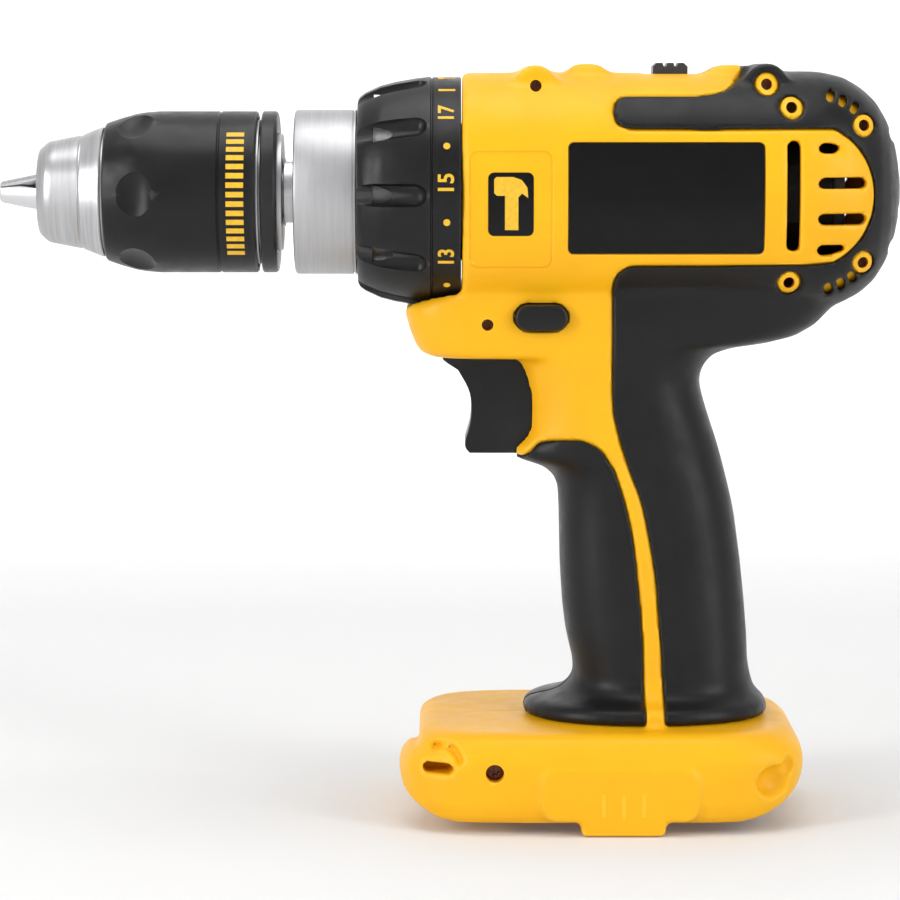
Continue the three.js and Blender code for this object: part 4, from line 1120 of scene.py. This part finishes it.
# %% Metals
ALONG = (60, 1, 1)


def metal(name, light, dark, low, high, marks):
    made = finish(name, light, (low + high) / 2, metallic=1.0)
    tones = mottle(made, light, dark, 45, (30, 1, 1))
    worn_edges(made, tones, tuple(min(1, 1.25 * v) for v in light), 0.52, 0.62)
    vary_roughness(made, low, high, 70, (40, 1, 1))
    grain(made, marks)
    return made


chuck_steel = metal("turned_steel", (0.56, 0.56, 0.57), (0.43, 0.43, 0.44), 0.3, 0.42,
                    [(70, 0.0035, ALONG), (900, 0.002, EVEN)])
collar_steel = metal("brushed_steel", (0.47, 0.47, 0.48), (0.38, 0.38, 0.39), 0.38, 0.5,
                     [(60, 0.012, (50, 1, 1)), (1200, 0.004, EVEN)])
gear_steel = metal("gear_steel", (0.42, 0.42, 0.43), (0.3, 0.3, 0.31), 0.3, 0.45,
                   [(80, 0.01, ALONG)])
spring_steel = metal("spring_steel", (0.5, 0.5, 0.52), (0.35, 0.35, 0.37), 0.28, 0.4,
                     [(900, 0.006, EVEN)])
screw_dark = metal("dark_screw", (0.17, 0.075, 0.05), (0.09, 0.04, 0.03), 0.35, 0.5,
                   [(1500, 0.008, EVEN)])
magnet = metal("magnet", (0.16, 0.16, 0.17), (0.1, 0.1, 0.11), 0.4, 0.55, [(1200, 0.02, EVEN)])
copper = metal("copper", (0.75, 0.33, 0.18), (0.5, 0.2, 0.11), 0.3, 0.42, [(600, 0.02, EVEN)])
carbon = finish("carbon_brush", (0.02, 0.02, 0.02), 0.6)
mottle(carbon, (0.03, 0.03, 0.03), (0.014, 0.014, 0.014), 700)
vary_roughness(carbon, 0.5, 0.7, 700)
grain(carbon, [(2500, 0.03, EVEN)])
# Painted shade: a near-black steel for the motor can, so the inside of the housing reads dark
# through the vents.
vent_shade = metal("vent_shade_steel", (0.022, 0.022, 0.023), (0.012, 0.012, 0.013), 0.5, 0.65,
                  [(900, 0.01, EVEN)])
FINISHES = {"yellow_housing": yellow, "rubber_grip": rubber, "nameplate": gloss,
            "screw_steel": screw_dark, "black_plastic": black, "chuck_steel": chuck_steel,
            "collar_steel": collar_steel, "gear_steel": gear_steel, "spring_steel": spring_steel,
            "magnet": magnet, "copper": copper, "carbon": carbon, "grey_plastic": grey_plastic,
            "red_lead": red_lead}
for part in frame["record"]["subparts"]:
    cad = frame["nodes"][part["node"]]
    if not cad.material_slots:
        cad.data.materials.append(None)
    for place_for in cad.material_slots:
        place_for.material = FINISHES[part["material_slot"]]
# The motor can, seen through the vents, takes the near-black painted shade instead of its own steel
# finish.
frame["nodes"]["motor_can"].material_slots[0].material = vent_shade
print("finishes on", len(frame["nodes"]), "CAD parts")

# %% [markdown]
# ## Fitting the pieces to the frame
#
# Each new piece rides on the body that moves it, takes a finish, and names the CAD part that it
# stands for, which is then hidden but still collides in the motion model.

# %% Fit
def fit(piece, body, slot, *nodes, finish_of=None):
    piece.data.materials.clear()
    piece.data.materials.append(finish_of or FINISHES[slot])
    if nodes:
        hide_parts(*nodes)
    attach(piece, body)


for k, side in enumerate(("left", "right")):
    fit(house_halves[k], "housing", "yellow_housing", "housing_" + side)
    fit(rear_grips[k], "housing", "rubber_grip", "rear_grip_" + side)
    fit(front_grips[k], "housing", "rubber_grip", "front_grip_" + side)
    fit(plate_halves[k], "housing", "nameplate", "nameplate_" + side)
    fit(badge_halves[k], "housing", "nameplate")
    fit(mark_halves[k], "housing", "yellow_housing", finish_of=print_yellow)
for made, node_name in screws:
    fit(made, "housing", "screw_steel", node_name)
fit(collar, "housing", "collar_steel", "gearcase_nose")
fit(neck, "chuck", "chuck_steel", "spindle")
fit(nose, "chuck", "chuck_steel", "chuck_body")
fit(rear_ring, "chuck", "black_plastic", "chuck_rear_ring")
fit(sleeve, "sleeve", "black_plastic", "chuck_sleeve")
fit(jaw_nut, "sleeve", "gear_steel", "chuck_nut")
fit(sleeve_marks, "sleeve", "yellow_housing", finish_of=print_yellow)
for k, jaw in enumerate(jaws):
    fit(jaw, "jaw_%d_body" % (k + 1), "chuck_steel", "jaw_%d" % (k + 1))
fit(dial, "collar_body", "black_plastic", "clutch_collar")
fit(dial_marks, "collar_body", "yellow_housing", finish_of=print_yellow)
fit(trigger, "trigger_body", "black_plastic", "trigger")
fit(button, "direction_body", "black_plastic", "direction_button")
fit(selector, "speed_body", "black_plastic", "speed_selector")
drop(form)

# %% [markdown]
# ## Floor and lamps
#
# A white sweep behind and under the tool gives an even pale ground, and a long lamp lights the
# sweep itself. Two tall strips on either side draw the long soft highlights down the handle and
# leave its middle dark, and a broad lamp above lights the tops.

# %% Floor
bpy.ops.mesh.primitive_plane_add(size=5, location=(0, 0.3, 0))
floor = named("floor")
bpy.ops.object.mode_set(mode="EDIT")
sheet = bmesh.from_edit_mesh(floor.data)
for edge in sheet.edges:
    edge.select_set(all(v.co.y > 2 for v in edge.verts))
bmesh.update_edit_mesh(floor.data)
bpy.ops.mesh.extrude_region_move(TRANSFORM_OT_translate={"value": (0, 0, 3)})
bpy.ops.object.mode_set(mode="OBJECT")
settle(floor)
modify(floor, "BEVEL", width=1.2, segments=24, limit_method="ANGLE")
bpy.ops.object.shade_smooth()
ground = finish("pale_ground", (0.8, 0.8, 0.8), 0.9, specular=0.2)
mottle(ground, (0.81, 0.81, 0.81), (0.79, 0.79, 0.79), 3)
shader_of(ground).inputs["Emission Color"].default_value = (1, 1, 1, 1)
shader_of(ground).inputs["Emission Strength"].default_value = 0.05
floor.data.materials.append(ground)
print("floor ready")


# %% Lamps
def lamp(name, spot, size, power, aim=TARGET):
    light = bpy.data.lights.new(name, "AREA")
    light.shape = "RECTANGLE"
    light.size, light.size_y = size
    light.energy = power
    holder = bpy.data.objects.new(name, light)
    bpy.context.scene.collection.objects.link(holder)
    holder.location = spot
    holder.rotation_euler = (aim - Vector(spot)).to_track_quat("-Z", "Y").to_euler()


lamp("left_strip", (-1.1, -0.9, 0.5), (0.35, 1.2), 10)
lamp("right_strip", (1.1, -0.85, 0.45), (0.3, 1.2), 7)
lamp("top_lamp", (-0.1, -0.1, 1.5), (1.2, 0.9), 8.5)
lamp("wall_lamp", (0, 0.9, 1.3), (2.4, 0.5), 34, Vector((0, 2.8, 0.5)))
print("lamps ready")

# %% World
world = bpy.data.worlds.new("studio")
bpy.context.scene.world = world
world.use_nodes = True
world.node_tree.nodes["Background"].inputs["Color"].default_value = (1, 1, 1, 1)
world.node_tree.nodes["Background"].inputs["Strength"].default_value = 0.1
bpy.context.scene.view_settings.view_transform = "Standard"
print("world ready")
